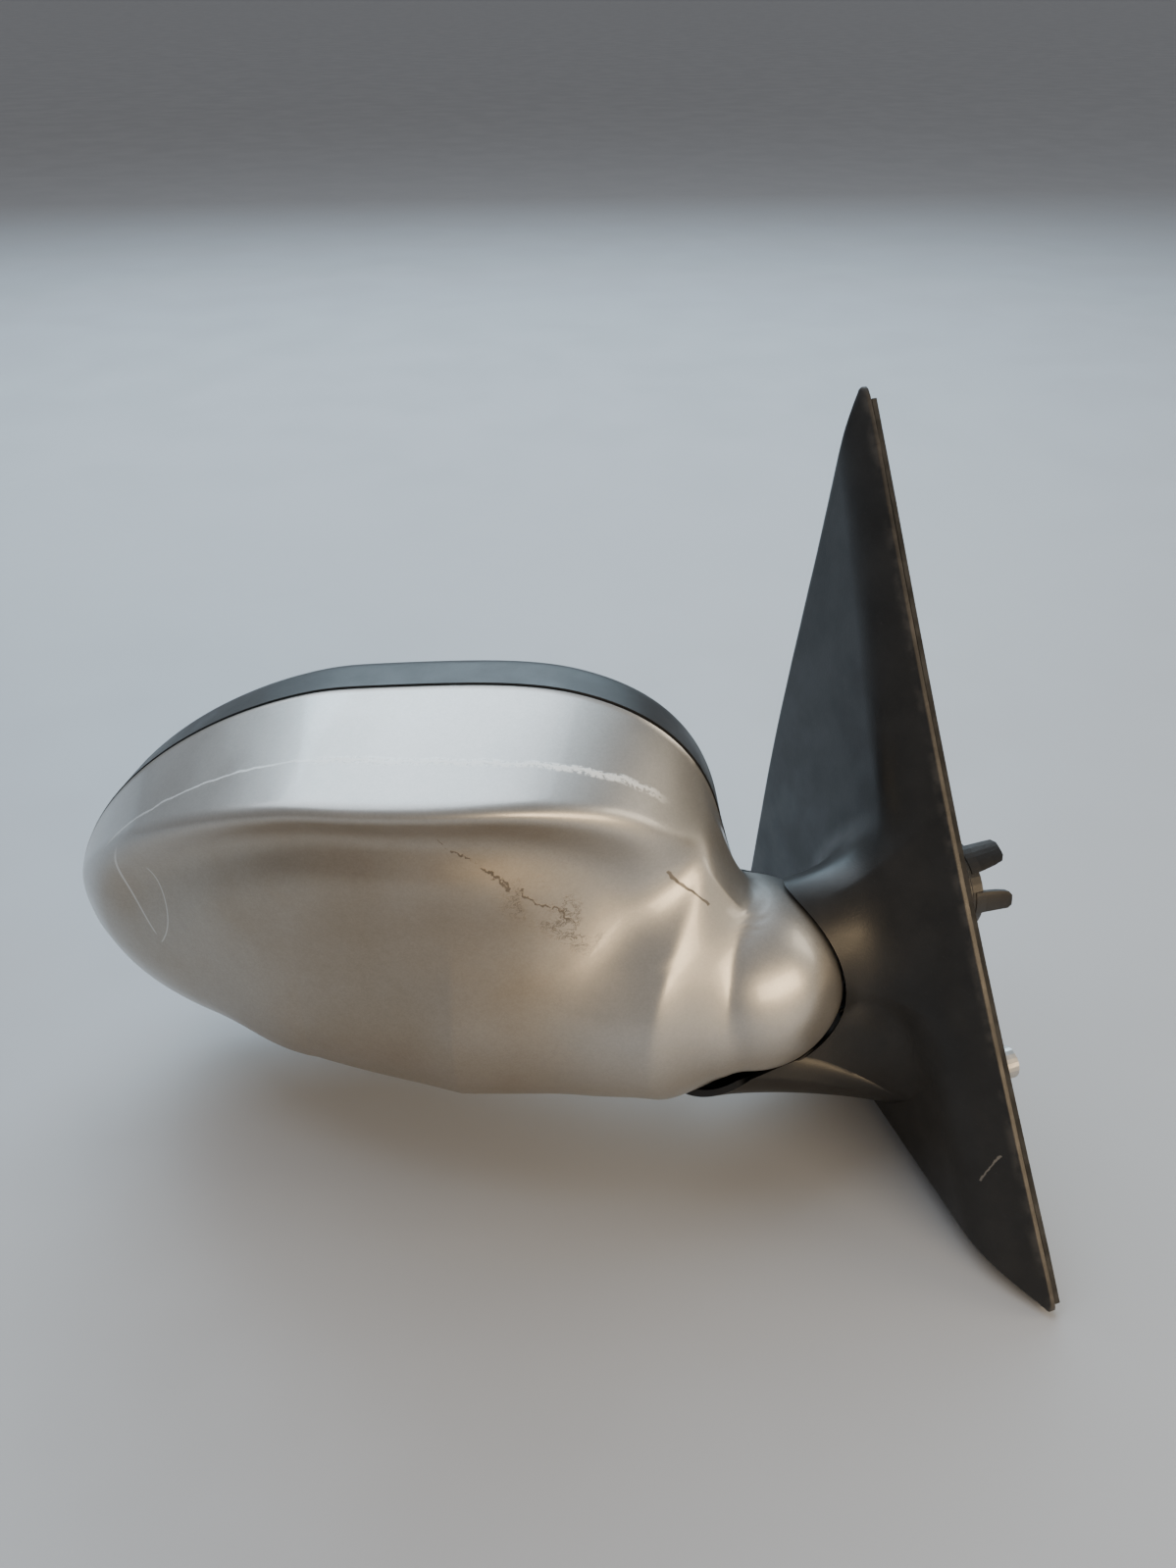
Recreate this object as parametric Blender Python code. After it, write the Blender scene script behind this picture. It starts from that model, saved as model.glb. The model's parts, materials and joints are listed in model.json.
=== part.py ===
"""Right-hand car door mirror: head on a vertical fold pivot, powered glass, and a triangular door base.

Frame: metres, +Z up. The origin is on the door-side mounting face, where the base arm's axis meets it.
+X points into the door, +Y to the rear of the car, and the head reaches out along -X.
Head pieces are drawn in the head's own frame: origin on the fold axis, x towards the car, y to the glass.
"""

import math

import bmesh
import bpy
import numpy as np
from mathutils import Matrix, Vector

MM = 0.001

# ---------------------------------------------------------------- driving dimensions
FOLD_X = -55.6 * MM  # fold axis, out from the mounting face
HEAD_YAW = math.radians(-24.0)  # the head's sweep about the fold axis

OVAL_X, OVAL_Z = -115 * MM, 14 * MM  # centre of the head's oval, in the head frame
OVAL_A, OVAL_TOP, OVAL_LOW = 109 * MM, 75 * MM, 57 * MM  # half length, and heights above and below, at the seam
OVAL_TURN = math.radians(8)  # how far the oval's outer end droops
INNER_POWER, OUTER_POWER = 2.9, 1.75  # squarer towards the car, leaner outwards
SEAM_Y = 18 * MM  # joint between painted cap and black frame
BACK_Y = 38 * MM  # rear edge of the frame
FRONT_Y = -32 * MM  # furthest forward point of the cap
FRONT_X = -92 * MM  # where that point is along the head
OUTER_SWEEP, INNER_SWEEP = 2.1, 4.0  # how fast the front face falls back to either side, per metre
CAP_TAPER = 2.85  # share of the outline lost per metre forward of the seam
SCOOP = 5.0 * MM  # depth of the hollow under the brow
CHIN = (-15 * MM, -8.5 * MM, -8 * MM)  # inner end of the fullness behind the ball
CHIN_LENGTH = 120 * MM
CHIN_FULL = -87 * MM  # where it begins to thin out along the head
CHIN_FALL = 0.35
CHIN_R = 29 * MM
NOSE_R = 31.5 * MM  # ball at the head's inner end, centred on the fold axis
NOSE_CUT_Z = -18 * MM  # where the ball is cut off flat
SHELL = 2.5 * MM
SEAM_GAP = 0.8 * MM

OPEN_INSET = 8.5 * MM  # width of the black rim round the glass opening
GLASS_INSET = 4.0 * MM  # gap round the glass
GLASS_Y = 28 * MM  # glass, rear face 2 mm further back
BULKHEAD_Y = 4 * MM
ADJUST_X, ADJUST_Z = -105 * MM, 25 * MM  # adjuster centre
ADJUST_R = 33 * MM
PIVOT_Y = 16 * MM  # gimbal centre
PLUNGER_OFFSET = 20 * MM

CUP_R = NOSE_R + 1.6 * MM  # hollow in the base arm that the ball turns in
ARM_FRONT, ARM_REAR, ARM_UP, ARM_DOWN = 24 * MM, 19 * MM, 31 * MM, 38 * MM
TONGUE_R = 26.6 * MM  # round end of the arm under the ball, about the fold axis
PANEL_DEPTH, TIP_DEPTH = 15 * MM, 8 * MM
FRONT_BOW = 2.5 * MM  # how far the front edge is drawn in at its middle
COVER_EDGE_X = -2.0 * MM
COVER_WALL = 2.2 * MM
TONGUE_TOP = NOSE_CUT_Z - 2.5 * MM
TIP = (-107 * MM, -59 * MM)  # front lower corner of the sail, as y, z, before rounding
HEEL = (82 * MM, -54 * MM)  # rear lower corner
APEX = (59 * MM, 166 * MM)  # upper corner

BOSSES = [(-48 * MM, -18 * MM), (45 * MM, -22 * MM), (24 * MM, 66 * MM)]
BOSS_R, BOSS_HOLE_R, BOSS_OUT = 5.5 * MM, 2.6 * MM, 14 * MM
PLUG_Y, PLUG_Z, PLUG_R = -10 * MM, 26 * MM, 12.2 * MM

LEAD_ROUTE = [(FOLD_X, 0, 13.6 * MM), (FOLD_X, 0, -4 * MM), (FOLD_X + 0.6 * MM, 0, -15 * MM),
              (FOLD_X + 4.5 * MM, 0, -21.5 * MM), (FOLD_X + 13 * MM, 0, -23.2 * MM), (-34 * MM, 0, -23 * MM),
              (-25 * MM, 0, -21 * MM), (-19.3 * MM, 0, -12 * MM), (-17 * MM, -2 * MM, 4 * MM),
              (-16.5 * MM, -6 * MM, 19 * MM), (-14.5 * MM, PLUG_Y, 28.5 * MM), (-9.4 * MM, PLUG_Y, PLUG_Z)]
HEAD_LEAD_ROUTE = [(0, 0, 15.4 * MM), (-3 * MM, -0.5 * MM, 18.5 * MM), (-14 * MM, -4 * MM, 19.5 * MM),
                   (-30 * MM, -13 * MM, 18 * MM), (-46 * MM, -18.5 * MM, 16 * MM), (-64 * MM, -19.5 * MM, 15 * MM),
                   (-84 * MM, -18.5 * MM, 15.5 * MM), (-95 * MM, -16 * MM, 16 * MM), (-95.5 * MM, -10.3 * MM, 16 * MM)]
LEAD_R = 2.2 * MM
TURRET_TOP = -18.9 * MM
TUBE_R, TUBE_BORE, TUBE_TOP = 7.0 * MM, 4.6 * MM, 13 * MM

WHEEL_TEETH, WORM_STARTS = 16, 2
WHEEL_R, WORM_R = 8.0 * MM, 2.6 * MM
ADDENDUM, DEDENDUM = 0.55 * MM, 0.9 * MM
TOOTH_SHARE = 0.28
LEAD = 2 * math.pi * WHEEL_R / WHEEL_TEETH * WORM_STARTS
FIT_GAP = 0.35 * MM


# ---------------------------------------------------------------- scene, materials, empties
def clear_scene():
    for old in list(bpy.data.objects):
        bpy.data.objects.remove(old, do_unlink=True)


MATERIALS = {
    "silver_paint": ((0.62, 0.63, 0.62), 0.28, 0.75),
    "black_grained": ((0.030, 0.030, 0.032), 0.55, 0.0),
    "black_satin": ((0.022, 0.022, 0.024), 0.45, 0.0),
    "rubber": ((0.018, 0.018, 0.018), 0.80, 0.0),
    "cast_alloy": ((0.62, 0.61, 0.58), 0.50, 1.0),
    "steel": ((0.55, 0.55, 0.56), 0.30, 1.0),
    "zinc_screw": ((0.66, 0.65, 0.60), 0.35, 1.0),
    "mirror_silver": ((0.88, 0.90, 0.91), 0.03, 1.0),
    "heater_film": ((0.30, 0.17, 0.08), 0.45, 0.0),
    "grey_plastic": ((0.16, 0.165, 0.17), 0.50, 0.0),
    "white_plastic": ((0.78, 0.77, 0.72), 0.45, 0.0),
    "brass": ((0.72, 0.55, 0.25), 0.35, 1.0),
}


def material(name):
    found = bpy.data.materials.get(name)
    if found:
        return found
    colour, roughness, metallic = MATERIALS[name]
    made = bpy.data.materials.new(name)
    made.use_nodes = True
    shader = made.node_tree.nodes["Principled BSDF"]
    shader.inputs["Base Color"].default_value = (*colour, 1.0)
    shader.inputs["Roughness"].default_value = roughness
    shader.inputs["Metallic"].default_value = metallic
    return made


def empty(name, place, parent=None):
    made = bpy.data.objects.new(name, None)
    bpy.context.scene.collection.objects.link(made)
    made.parent = parent
    made.matrix_local = place
    return made


# ---------------------------------------------------------------- mesh helpers
def warped(face):
    """Whether a quad's corners leave its plane by more than a hundredth of a millimetre."""
    away = [abs((corner.co - face.verts[0].co) @ face.normal) for corner in face.verts]
    return len(face.verts) == 4 and max(away) > 0.01 * MM


def piece(name, points, faces, finish, frame, place=None):
    """An object from points and faces, drawn in the frame of an empty, smooth with sharp edges kept."""
    mesh = bpy.data.meshes.new(name)
    mesh.from_pydata([tuple(map(float, p)) for p in points], [], [tuple(map(int, f)) for f in faces])
    mesh.validate()
    bm = bmesh.new()
    bm.from_mesh(mesh)
    bmesh.ops.recalc_face_normals(bm, faces=bm.faces)
    if bm.calc_volume(signed=True) < 0:
        bmesh.ops.reverse_faces(bm, faces=bm.faces)
    bmesh.ops.triangulate(bm, faces=[face for face in bm.faces if warped(face)])
    bm.to_mesh(mesh)
    bm.free()
    mesh.shade_smooth()
    mesh.set_sharp_from_angle(angle=math.radians(35))
    made = bpy.data.objects.new(name, mesh)
    bpy.context.scene.collection.objects.link(made)
    made.parent = frame
    if place is not None:
        made.matrix_local = place
    if finish:
        mesh.materials.append(material(finish))
    return made


def helper(obj):
    """Marks a cutter or a shape that a union takes in, so it is no piece of its own."""
    obj.hide_render = True
    obj.display_type = "WIRE"
    return obj


def combine(target, tool, operation):
    modifier = target.modifiers.new(operation.lower(), "BOOLEAN")
    modifier.operation = operation
    modifier.solver = "EXACT"
    modifier.object = helper(tool)
    return target


def grid_faces(rows, columns, close_rows, first=0):
    """Quads between the rings of a grid: columns run round and are closed, rows may close on the first."""
    faces = []
    for r in range(rows if close_rows else rows - 1):
        for c in range(columns):
            a, b = first + r * columns, first + (r + 1) % rows * columns
            faces.append((a + c, a + (c + 1) % columns, b + (c + 1) % columns, b + c))
    return faces


def ring_solid(name, rings, finish, frame, place=None):
    """A closed loop of rings: a tube bent back on itself, like a frame or a washer of any section."""
    rings = np.asarray(rings)
    rows, columns = rings.shape[:2]
    return piece(name, rings.reshape(-1, 3), grid_faces(rows, columns, True), finish, frame, place)


def capped_solid(name, rings, finish, frame, place=None):
    """Rings from one end to the other, with a flat face closing each end."""
    rings = np.asarray(rings)
    rows, columns = rings.shape[:2]
    faces = grid_faces(rows, columns, False)
    faces.append(tuple(range(columns)))
    faces.append(tuple(range((rows - 1) * columns, rows * columns)))
    return piece(name, rings.reshape(-1, 3), faces, finish, frame, place)


def domed_shell(name, outer, inner, finish, frame):
    """A bowl with a wall: ring 0 of both grids is the open edge, and the last ring is nearly a pole."""
    rows, columns = outer.shape[:2]
    points = [*outer.reshape(-1, 3), *inner.reshape(-1, 3), outer[-1].mean(0), inner[-1].mean(0)]
    faces = grid_faces(rows, columns, False) + grid_faces(rows, columns, False, rows * columns)
    for c in range(columns):
        d = (c + 1) % columns
        faces.append((c, d, rows * columns + d, rows * columns + c))
        faces.append(((rows - 1) * columns + c, (rows - 1) * columns + d, 2 * rows * columns))
        faces.append(((2 * rows - 1) * columns + c, (2 * rows - 1) * columns + d, 2 * rows * columns + 1))
    return piece(name, points, faces, finish, frame)


def circle(radius, count, level, centre=(0.0, 0.0)):
    turn = np.arange(count) * 2 * math.pi / count
    return np.stack(
        [centre[0] + radius * np.cos(turn), centre[1] + radius * np.sin(turn), np.full(count, level)], -1
    )


def turned(name, profile, finish, frame, place=None, count=32):
    """A lathe shape about Z from (radius, z) points that run round a closed section with a bore."""
    rings = [circle(r, count, z) for r, z in profile]
    return ring_solid(name, rings, finish, frame, place)


def rod(name, profile, finish, frame, place=None, count=24):
    """A solid lathe shape about Z from (radius, z) points, lowest first."""
    return capped_solid(name, [circle(r, count, z) for r, z in profile], finish, frame, place)


def block(name, low, high, finish, frame, place=None):
    corners = [[(x, y, z) for x, y in ((low[0], low[1]), (high[0], low[1]), (high[0], high[1]), (low[0], high[1]))]
               for z in (low[2], high[2])]
    return capped_solid(name, corners, finish, frame, place)


def lying(axis, at):
    """Turns something drawn about Z so that its axis points along axis, with its origin at at."""
    return Matrix.Translation(at) @ Vector(axis).to_track_quat("Z", "Y").to_matrix().to_4x4()


def axes_at(at, x_axis, z_axis):
    """A frame at a point, from its x and z directions."""
    turn = Matrix((x_axis, z_axis.cross(x_axis), z_axis)).transposed()
    return Matrix.Translation(at) @ turn.to_4x4()


# ---------------------------------------------------------------- blending formulas
def smooth_max(a, b, k):
    """The larger of a and b, rounded over a width k where they cross."""
    h = np.clip(0.5 + 0.5 * (a - b) / k, 0, 1)
    return b + (a - b) * h + k * h * (1 - h)


def smooth_min(a, b, k):
    return -smooth_max(-a, -b, k)


def ease(t):
    t = np.clip(t, 0, 1)
    return t * t * (3 - 2 * t)


def solve(field, origin, direction, reach):
    """How far along each direction from origin the field first turns positive, by halving."""
    near, far = np.zeros(direction.shape[:-1]), np.full(direction.shape[:-1], reach)
    for _ in range(40):
        middle = (near + far) / 2
        outside = field(*np.moveaxis(origin + direction * middle[..., None], -1, 0)) > 0
        far = np.where(outside, middle, far)
        near = np.where(outside, near, middle)
    return origin + direction * near[..., None]


def bearings(count, thick_at, spread, extra):
    """Angles round a circle, set closer together about one bearing."""
    fine = np.linspace(-math.pi, math.pi, 2001)
    density = 1 + extra * np.exp(-(((fine - thick_at) / spread) ** 2))
    share = np.concatenate([[0], np.cumsum((density[1:] + density[:-1]) / 2)])
    return np.interp(np.arange(count) * share[-1] / count, share, fine)


# ---------------------------------------------------------------- the head's outer form
def oval(x, z, forward=0.0):
    """How far out a point is, as a share of the oval at its depth, and its height share."""
    c, s = math.cos(OVAL_TURN), math.sin(OVAL_TURN)
    size = 1 - CAP_TAPER * np.maximum(forward, 0) - 0.9 * np.maximum(-forward, 0)
    across = ((x - OVAL_X) * c + (z - OVAL_Z) * s) / (OVAL_A * size)
    up = (z - OVAL_Z) * c - (x - OVAL_X) * s
    rise = up / (np.where(up < 0, OVAL_LOW, OVAL_TOP) * size)
    power = OUTER_POWER + (INNER_POWER - OUTER_POWER) * ease(across / 0.8 + 0.2)
    return (np.abs(across) ** power + np.abs(rise) ** power) ** (1 / power), rise


def head_field(x, y, z):
    """Negative inside the head. A tapering oval is closed in front by a swept face with a hollow under
    its brow, closed behind by a flat back, and runs through a full chin into the ball on the fold axis."""
    around, rise = oval(x, z, SEAM_Y - y)
    side = (around - 1) * OVAL_TOP
    upward = ease((rise + 0.15) / 0.7)
    hollow = SCOOP * upward * np.exp(-(((around - 0.80) / 0.13) ** 2))
    lower = np.minimum(rise, 0)
    sweep = np.where(x < FRONT_X, OUTER_SWEEP, INNER_SWEEP)
    front = FRONT_Y + sweep * (x - FRONT_X) ** 2 + 11 * MM * lower**2 - 1.5 * MM * rise**2 + hollow
    soft = 35 - 17 * ease((-x - 140 * MM) / (70 * MM))
    body = smooth_max(side, front - y, (5 + soft * (1 - upward)) * MM)
    body = smooth_max(body, y - BACK_Y, 7 * MM)
    level = np.clip(x, CHIN[0] - CHIN_LENGTH, CHIN[0])
    thick = CHIN_R - CHIN_FALL * np.maximum(CHIN_FULL - level, 0)
    near = ease((level + 50 * MM) / (35 * MM))
    depth, low = CHIN[1] * (1 - 0.45 * near), CHIN[2] * (1 - 0.5 * near)
    chin = np.sqrt((x - level) ** 2 + (y - depth) ** 2 + (z - low) ** 2) - thick
    body = smooth_min(body, chin, 28 * MM)
    ball = np.sqrt(x * x + y * y + z * z) - NOSE_R
    behind = -x - 0.45 * np.maximum(np.abs(y) - 8 * MM, 0) + 4 * MM
    blend = (1.5 + 40 * ease(behind / (20 * MM))) * MM
    return smooth_min(body, ball, blend)


def head_normal(points):
    step = 0.05 * MM
    slope = []
    for axis in np.eye(3) * step:
        slope.append(head_field(*np.moveaxis(points + axis, -1, 0)) - head_field(*np.moveaxis(points - axis, -1, 0)))
    slope = np.stack(slope, -1)
    return slope / np.linalg.norm(slope, axis=-1, keepdims=True)


def oval_outline(bearing, inset):
    """Points of the seam plane on the oval's outline drawn in by inset, at bearings from its centre."""
    ray = np.stack([np.cos(bearing), np.sin(bearing)], -1)
    centre = np.array([OVAL_X, OVAL_Z])
    points = solve(lambda x, z: oval(x, z)[0] - 1, centre, ray, 0.3) - centre
    along = np.roll(points, -1, 0) - np.roll(points, 1, 0)
    normal = np.stack([along[:, 1], -along[:, 0]], -1)
    normal /= np.linalg.norm(normal, axis=1, keepdims=True)
    return points - normal * inset


def oval_radius(bearing, a, b, power):
    return (np.abs(np.cos(bearing) / a) ** power + np.abs(np.sin(bearing) / b) ** power) ** (-1 / power)


COLUMNS, CAP_ROWS = 48, 11  # round the head, and over the cap
BEND_WEIGHT = 14 * MM  # how strongly rows gather at a bend
HEAD_CENTRE = np.array([OVAL_X, SEAM_Y, OVAL_Z])
NOSE_BEARING = math.atan2(-HEAD_CENTRE[2], -HEAD_CENTRE[0])


def head_ray(bearing, lift):
    """Direction from the head's centre: bearing turns in the seam plane, lift tips it to the front."""
    return np.stack(
        [np.cos(bearing) * np.cos(lift), -np.sin(lift), np.sin(bearing) * np.cos(lift)], -1
    )


def even_lifts(bearing, low, high, count):
    """Lifts from low to high at each bearing, closer where the skin bends, by length and turn together."""
    fine = np.linspace(low, high, 240)[:, None] + np.zeros_like(bearing)
    path = solve(head_field, HEAD_CENTRE, head_ray(np.broadcast_to(bearing, fine.shape), fine), 0.4)
    step = np.diff(path, axis=0)
    length = np.linalg.norm(step, axis=-1)
    way = step / (length[..., None] + 1e-9)
    turn = np.zeros_like(length)
    turn[1:] = np.arccos(np.clip((way[1:] * way[:-1]).sum(-1), -1, 1))
    weight = length + BEND_WEIGHT * turn
    weight = (np.roll(weight, 1, 1) + 2 * weight + np.roll(weight, -1, 1)) / 4
    walked = np.vstack([np.zeros(len(bearing)), np.cumsum(weight, 0)])
    wanted = np.linspace(0, 1, count)
    return np.stack([np.interp(wanted * w[-1], w, fine[:, k]) for k, w in enumerate(walked.T)], -1)


def build_cap(frame):
    bearing = bearings(COLUMNS, NOSE_BEARING + 0.06, 0.22, 4.0)
    lift = even_lifts(bearing, math.radians(0.5), math.radians(84), CAP_ROWS)
    bearing = np.broadcast_to(bearing, lift.shape)
    outer = solve(head_field, HEAD_CENTRE, head_ray(bearing, lift), 0.4)
    inner = outer - head_normal(outer) * SHELL
    edge = SEAM_Y - SEAM_GAP
    outer[0, :, 1] = edge
    inner[0, :, 1] = edge
    cap = domed_shell("painted_cap", outer, inner, "silver_paint", frame)
    return combine(cap, foot_cutter("cap_foot_cutter", frame), "DIFFERENCE")


def build_frame(frame):
    """Black housing behind the seam: outer skin, rounded rear lip, inner wall and a bulkhead with a round hole."""
    bearing = bearings(COLUMNS, NOSE_BEARING + 0.06, 0.22, 4.0)
    opening = oval_outline(bearing, OPEN_INSET)
    lip = np.stack([OVAL_X + opening[:, 0], np.full(COLUMNS, BACK_Y), OVAL_Z + opening[:, 1]], -1)
    lip_direction = lip - HEAD_CENTRE
    flat = np.hypot(lip_direction[:, 0], lip_direction[:, 2])
    turn = np.arctan2(lip_direction[:, 2], lip_direction[:, 0])
    tip = np.arctan2(lip_direction[:, 1], flat)
    skin = []
    for share in (0.01, 0.4, 0.75, 0.88, 0.95, 1.0):
        skin.append(solve(head_field, HEAD_CENTRE, head_ray(turn, -tip * share), 0.4))
    skin = np.array(skin)
    skin[0, :, 1] = SEAM_Y
    inside = skin - head_normal(skin) * SHELL
    inside[0, :, 1] = SEAM_Y

    def wall(inset, y):
        edge = oval_outline(bearing, OPEN_INSET + inset)
        return np.stack([OVAL_X + edge[:, 0], np.full(COLUMNS, y), OVAL_Z + edge[:, 1]], -1)

    def hole(y):
        return np.stack(
            [ADJUST_X + 35 * MM * np.cos(bearing), np.full(COLUMNS, y), ADJUST_Z + 35 * MM * np.sin(bearing)], -1
        )

    rings = [*skin[:-1], wall(-0.8 * MM, BACK_Y - 0.2 * MM), wall(0, BACK_Y - 1.6 * MM), wall(0, 22 * MM)]
    rings += [wall(2.5 * MM, 14 * MM)]
    rings += [wall(8 * MM, 9.5 * MM), wall(20 * MM, BULKHEAD_Y + SHELL), hole(BULKHEAD_Y + SHELL), hole(BULKHEAD_Y)]
    rings += [wall(20 * MM, BULKHEAD_Y), wall(7 * MM, 7.0 * MM), wall(0.6 * MM, 13 * MM), wall(-2.0 * MM, 21.4 * MM)]
    rings += [wall(-2.0 * MM, BACK_Y - 3.4 * MM)]
    rings += [*inside[3:0:-1], inside[0]]
    housing = ring_solid("housing_frame", rings, "black_grained", frame)
    return combine(housing, foot_cutter("frame_foot_cutter", frame), "DIFFERENCE")


def foot_cutter(name, frame):
    """Round recess under the ball that the base's foot turns in."""
    return rod(name, [(27.5 * MM, -80 * MM), (27.5 * MM, NOSE_CUT_Z)], None, frame, count=40)


# ---------------------------------------------------------------- the base cover
def edge_distance(y, z, start, end):
    """Distance inside the straight edge from start to end, positive inside."""
    along = np.array(end) - np.array(start)
    along = along / np.linalg.norm(along)
    return (y - start[0]) * along[1] - (z - start[1]) * along[0]


def sail_edges(y, z):
    bow = FRONT_BOW * np.maximum(1 - ((z - 50 * MM) / (100 * MM)) ** 2, 0)
    front = edge_distance(y, z, TIP, APEX) - bow
    rear = edge_distance(y, z, APEX, HEEL)
    bottom = edge_distance(y, z, HEEL, TIP)
    return front, rear, bottom


def sail_field(y, z):
    """Positive outside the rounded triangle of the sail."""
    front, rear, bottom = sail_edges(y, z)
    return smooth_max(smooth_max(-front, -rear, 5 * MM), -bottom, 4 * MM)


def panel_depth(y, z):
    """How far the sail's outer face stands from the mounting face: a level panel, a slanting roll along
    the front edge, and short steep sides along the rear and the bottom."""
    front, rear, bottom = sail_edges(y, z)
    level = TIP_DEPTH + (PANEL_DEPTH - TIP_DEPTH) * ease((APEX[1] - z) / (150 * MM))
    roll = 3.2 * MM + 0.85 * np.maximum(front, 0)
    depth = smooth_min(level, roll, 6 * MM)
    steep = 3.2 * MM + 2.6 * np.maximum(np.minimum(rear, bottom), 0)
    return smooth_min(depth, steep, 4 * MM)


def sail_reach(turn):
    """Distance from the arm's axis to the sail's outline at each bearing."""
    rays = np.stack([np.cos(turn), np.sin(turn)], -1)
    found = solve(sail_field, np.zeros(2), rays, 0.4)
    return np.linalg.norm(found, axis=-1)


def arm_section(turn):
    """Radius of the arm at its outer end: an upright oval, fuller in front."""
    half = np.where(np.cos(turn) < 0, ARM_FRONT, ARM_REAR)
    tall = np.where(np.sin(turn) < 0, ARM_DOWN, ARM_UP)
    power = 2 + (1.1 - 0.9 * np.cos(turn)) * ease(-2 * np.sin(turn))
    return (np.abs(np.cos(turn) / half) ** power + np.abs(np.sin(turn) / tall) ** power) ** (-1 / power)


def arm_end(turn, radius):
    """Where the arm stops: on the ball's cup, and further out as a tongue under the ball."""
    cup = FOLD_X + np.sqrt(np.maximum(CUP_R**2 - radius**2, 0))
    drop = -radius * np.sin(turn)
    share = np.sqrt(np.clip((drop + TONGUE_TOP) / (ARM_DOWN + TONGUE_TOP), 0, 1))
    tongue = FOLD_X - np.sqrt(np.maximum(TONGUE_R**2 - (radius * np.cos(turn)) ** 2, 0))
    return cup + (tongue - cup) * share


def arm_flare(turn):
    """Width of the sweep that joins the arm to the panel: wide above and in front."""
    front, top, rear, bottom = 27 * MM, 30 * MM, 15 * MM, 14 * MM
    level = np.where(np.cos(turn) < 0, front, rear)
    top = 14 * MM + (top - 14 * MM) * ease(0.5 - np.cos(turn))
    upright = np.where(np.sin(turn) > 0, top, bottom)
    return level * np.cos(turn) ** 2 + upright * np.sin(turn) ** 2


def cover_surface(turn, flare_steps, panel_steps):
    """Rings from the arm's end, out over the flare and the panel, to the cover's edge."""
    radius = arm_section(turn)
    end = arm_end(turn, radius)
    flare = arm_flare(turn)
    reach = sail_reach(turn)
    foot = np.minimum(radius + flare, reach - 5.5 * MM)
    under = ease(-1.5 * np.sin(turn))
    rings = []
    for angle in flare_steps:
        spread = (1 - math.cos(angle)) ** 1.15 * (1 - under) + math.sin(angle) ** 1.3 * under
        out = radius + (foot - radius) * spread
        y, z = out * np.cos(turn), out * np.sin(turn)
        x = end + (-panel_depth(y, z) - end) * math.sin(angle)
        rings.append(np.stack([x, y, z], -1))
    for share in panel_steps:
        out = foot + (reach - foot) * share
        y, z = out * np.cos(turn), out * np.sin(turn)
        rings.append(np.stack([-panel_depth(y, z), y, z], -1))
    y, z = reach * np.cos(turn), reach * np.sin(turn)
    rings.append(np.stack([np.full_like(y, COVER_EDGE_X), y, z], -1))
    return np.array(rings)


def sail_bearings(count):
    """Bearings for the cover, closer together at its three corners."""
    fine = np.linspace(-math.pi, math.pi, 4001)
    density = np.ones_like(fine)
    for y, z in (TIP, HEEL, APEX):
        density += 2.2 * np.exp(-(((fine - math.atan2(z, y)) / 0.12) ** 2))
    level = arm_section(fine) * np.sin(fine)
    density += 3.0 * np.exp(-(((level - TONGUE_TOP) / (2.5 * MM)) ** 2))
    share = np.concatenate([[0], np.cumsum((density[1:] + density[:-1]) / 2)])
    return np.interp(np.arange(count) * share[-1] / count, share, fine)


def build_cover(frame):
    turn = sail_bearings(60)
    steps = np.radians([0, 17, 34, 52, 71])
    outer = cover_surface(turn, steps, [0, 0.35, 0.65, 0.85, 0.96])
    run = np.gradient(outer, axis=0)
    side = np.roll(outer, -1, 1) - np.roll(outer, 1, 1)
    normal = np.cross(side, run)
    normal /= np.linalg.norm(normal, axis=-1, keepdims=True)
    inner = outer - normal * COVER_WALL * np.sign((normal * np.array([-1, 0, 0])).sum(-1).mean())
    inward = np.stack([np.zeros_like(turn), np.cos(turn), np.sin(turn)], -1)
    inner[-1] = outer[-1] - inward * COVER_WALL
    inner[-2] = np.where(inner[-2][:, :1] > COVER_EDGE_X - 1 * MM, outer[-1] - inward * COVER_WALL, inner[-2])
    inner[-2, :, 0] = np.minimum(inner[-2, :, 0], COVER_EDGE_X - 0.6 * MM)
    radius = arm_section(turn) - COVER_WALL
    inner[0] = outer[0] - inward * COVER_WALL
    inner[0, :, 0] = np.maximum(arm_end(turn, radius), outer[0, :, 0])
    return ring_solid("base_cover", [*outer, *inner[::-1]], "black_grained", frame)


# ---------------------------------------------------------------- the base's other pieces
def sail_slab(name, inset, width, low_x, high_x, finish, frame, count=48):
    """A flat band that follows the sail's outline, from inset to inset + width inside it."""
    turn = sail_bearings(count)
    reach = sail_reach(turn)

    def ring(less, x):
        radius = reach - less
        return np.stack([np.full(count, x), radius * np.cos(turn), radius * np.sin(turn)], -1)

    rings = [ring(inset, low_x), ring(inset, high_x), ring(inset + width, high_x), ring(inset + width, low_x)]
    return ring_solid(name, rings, finish, frame)


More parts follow.
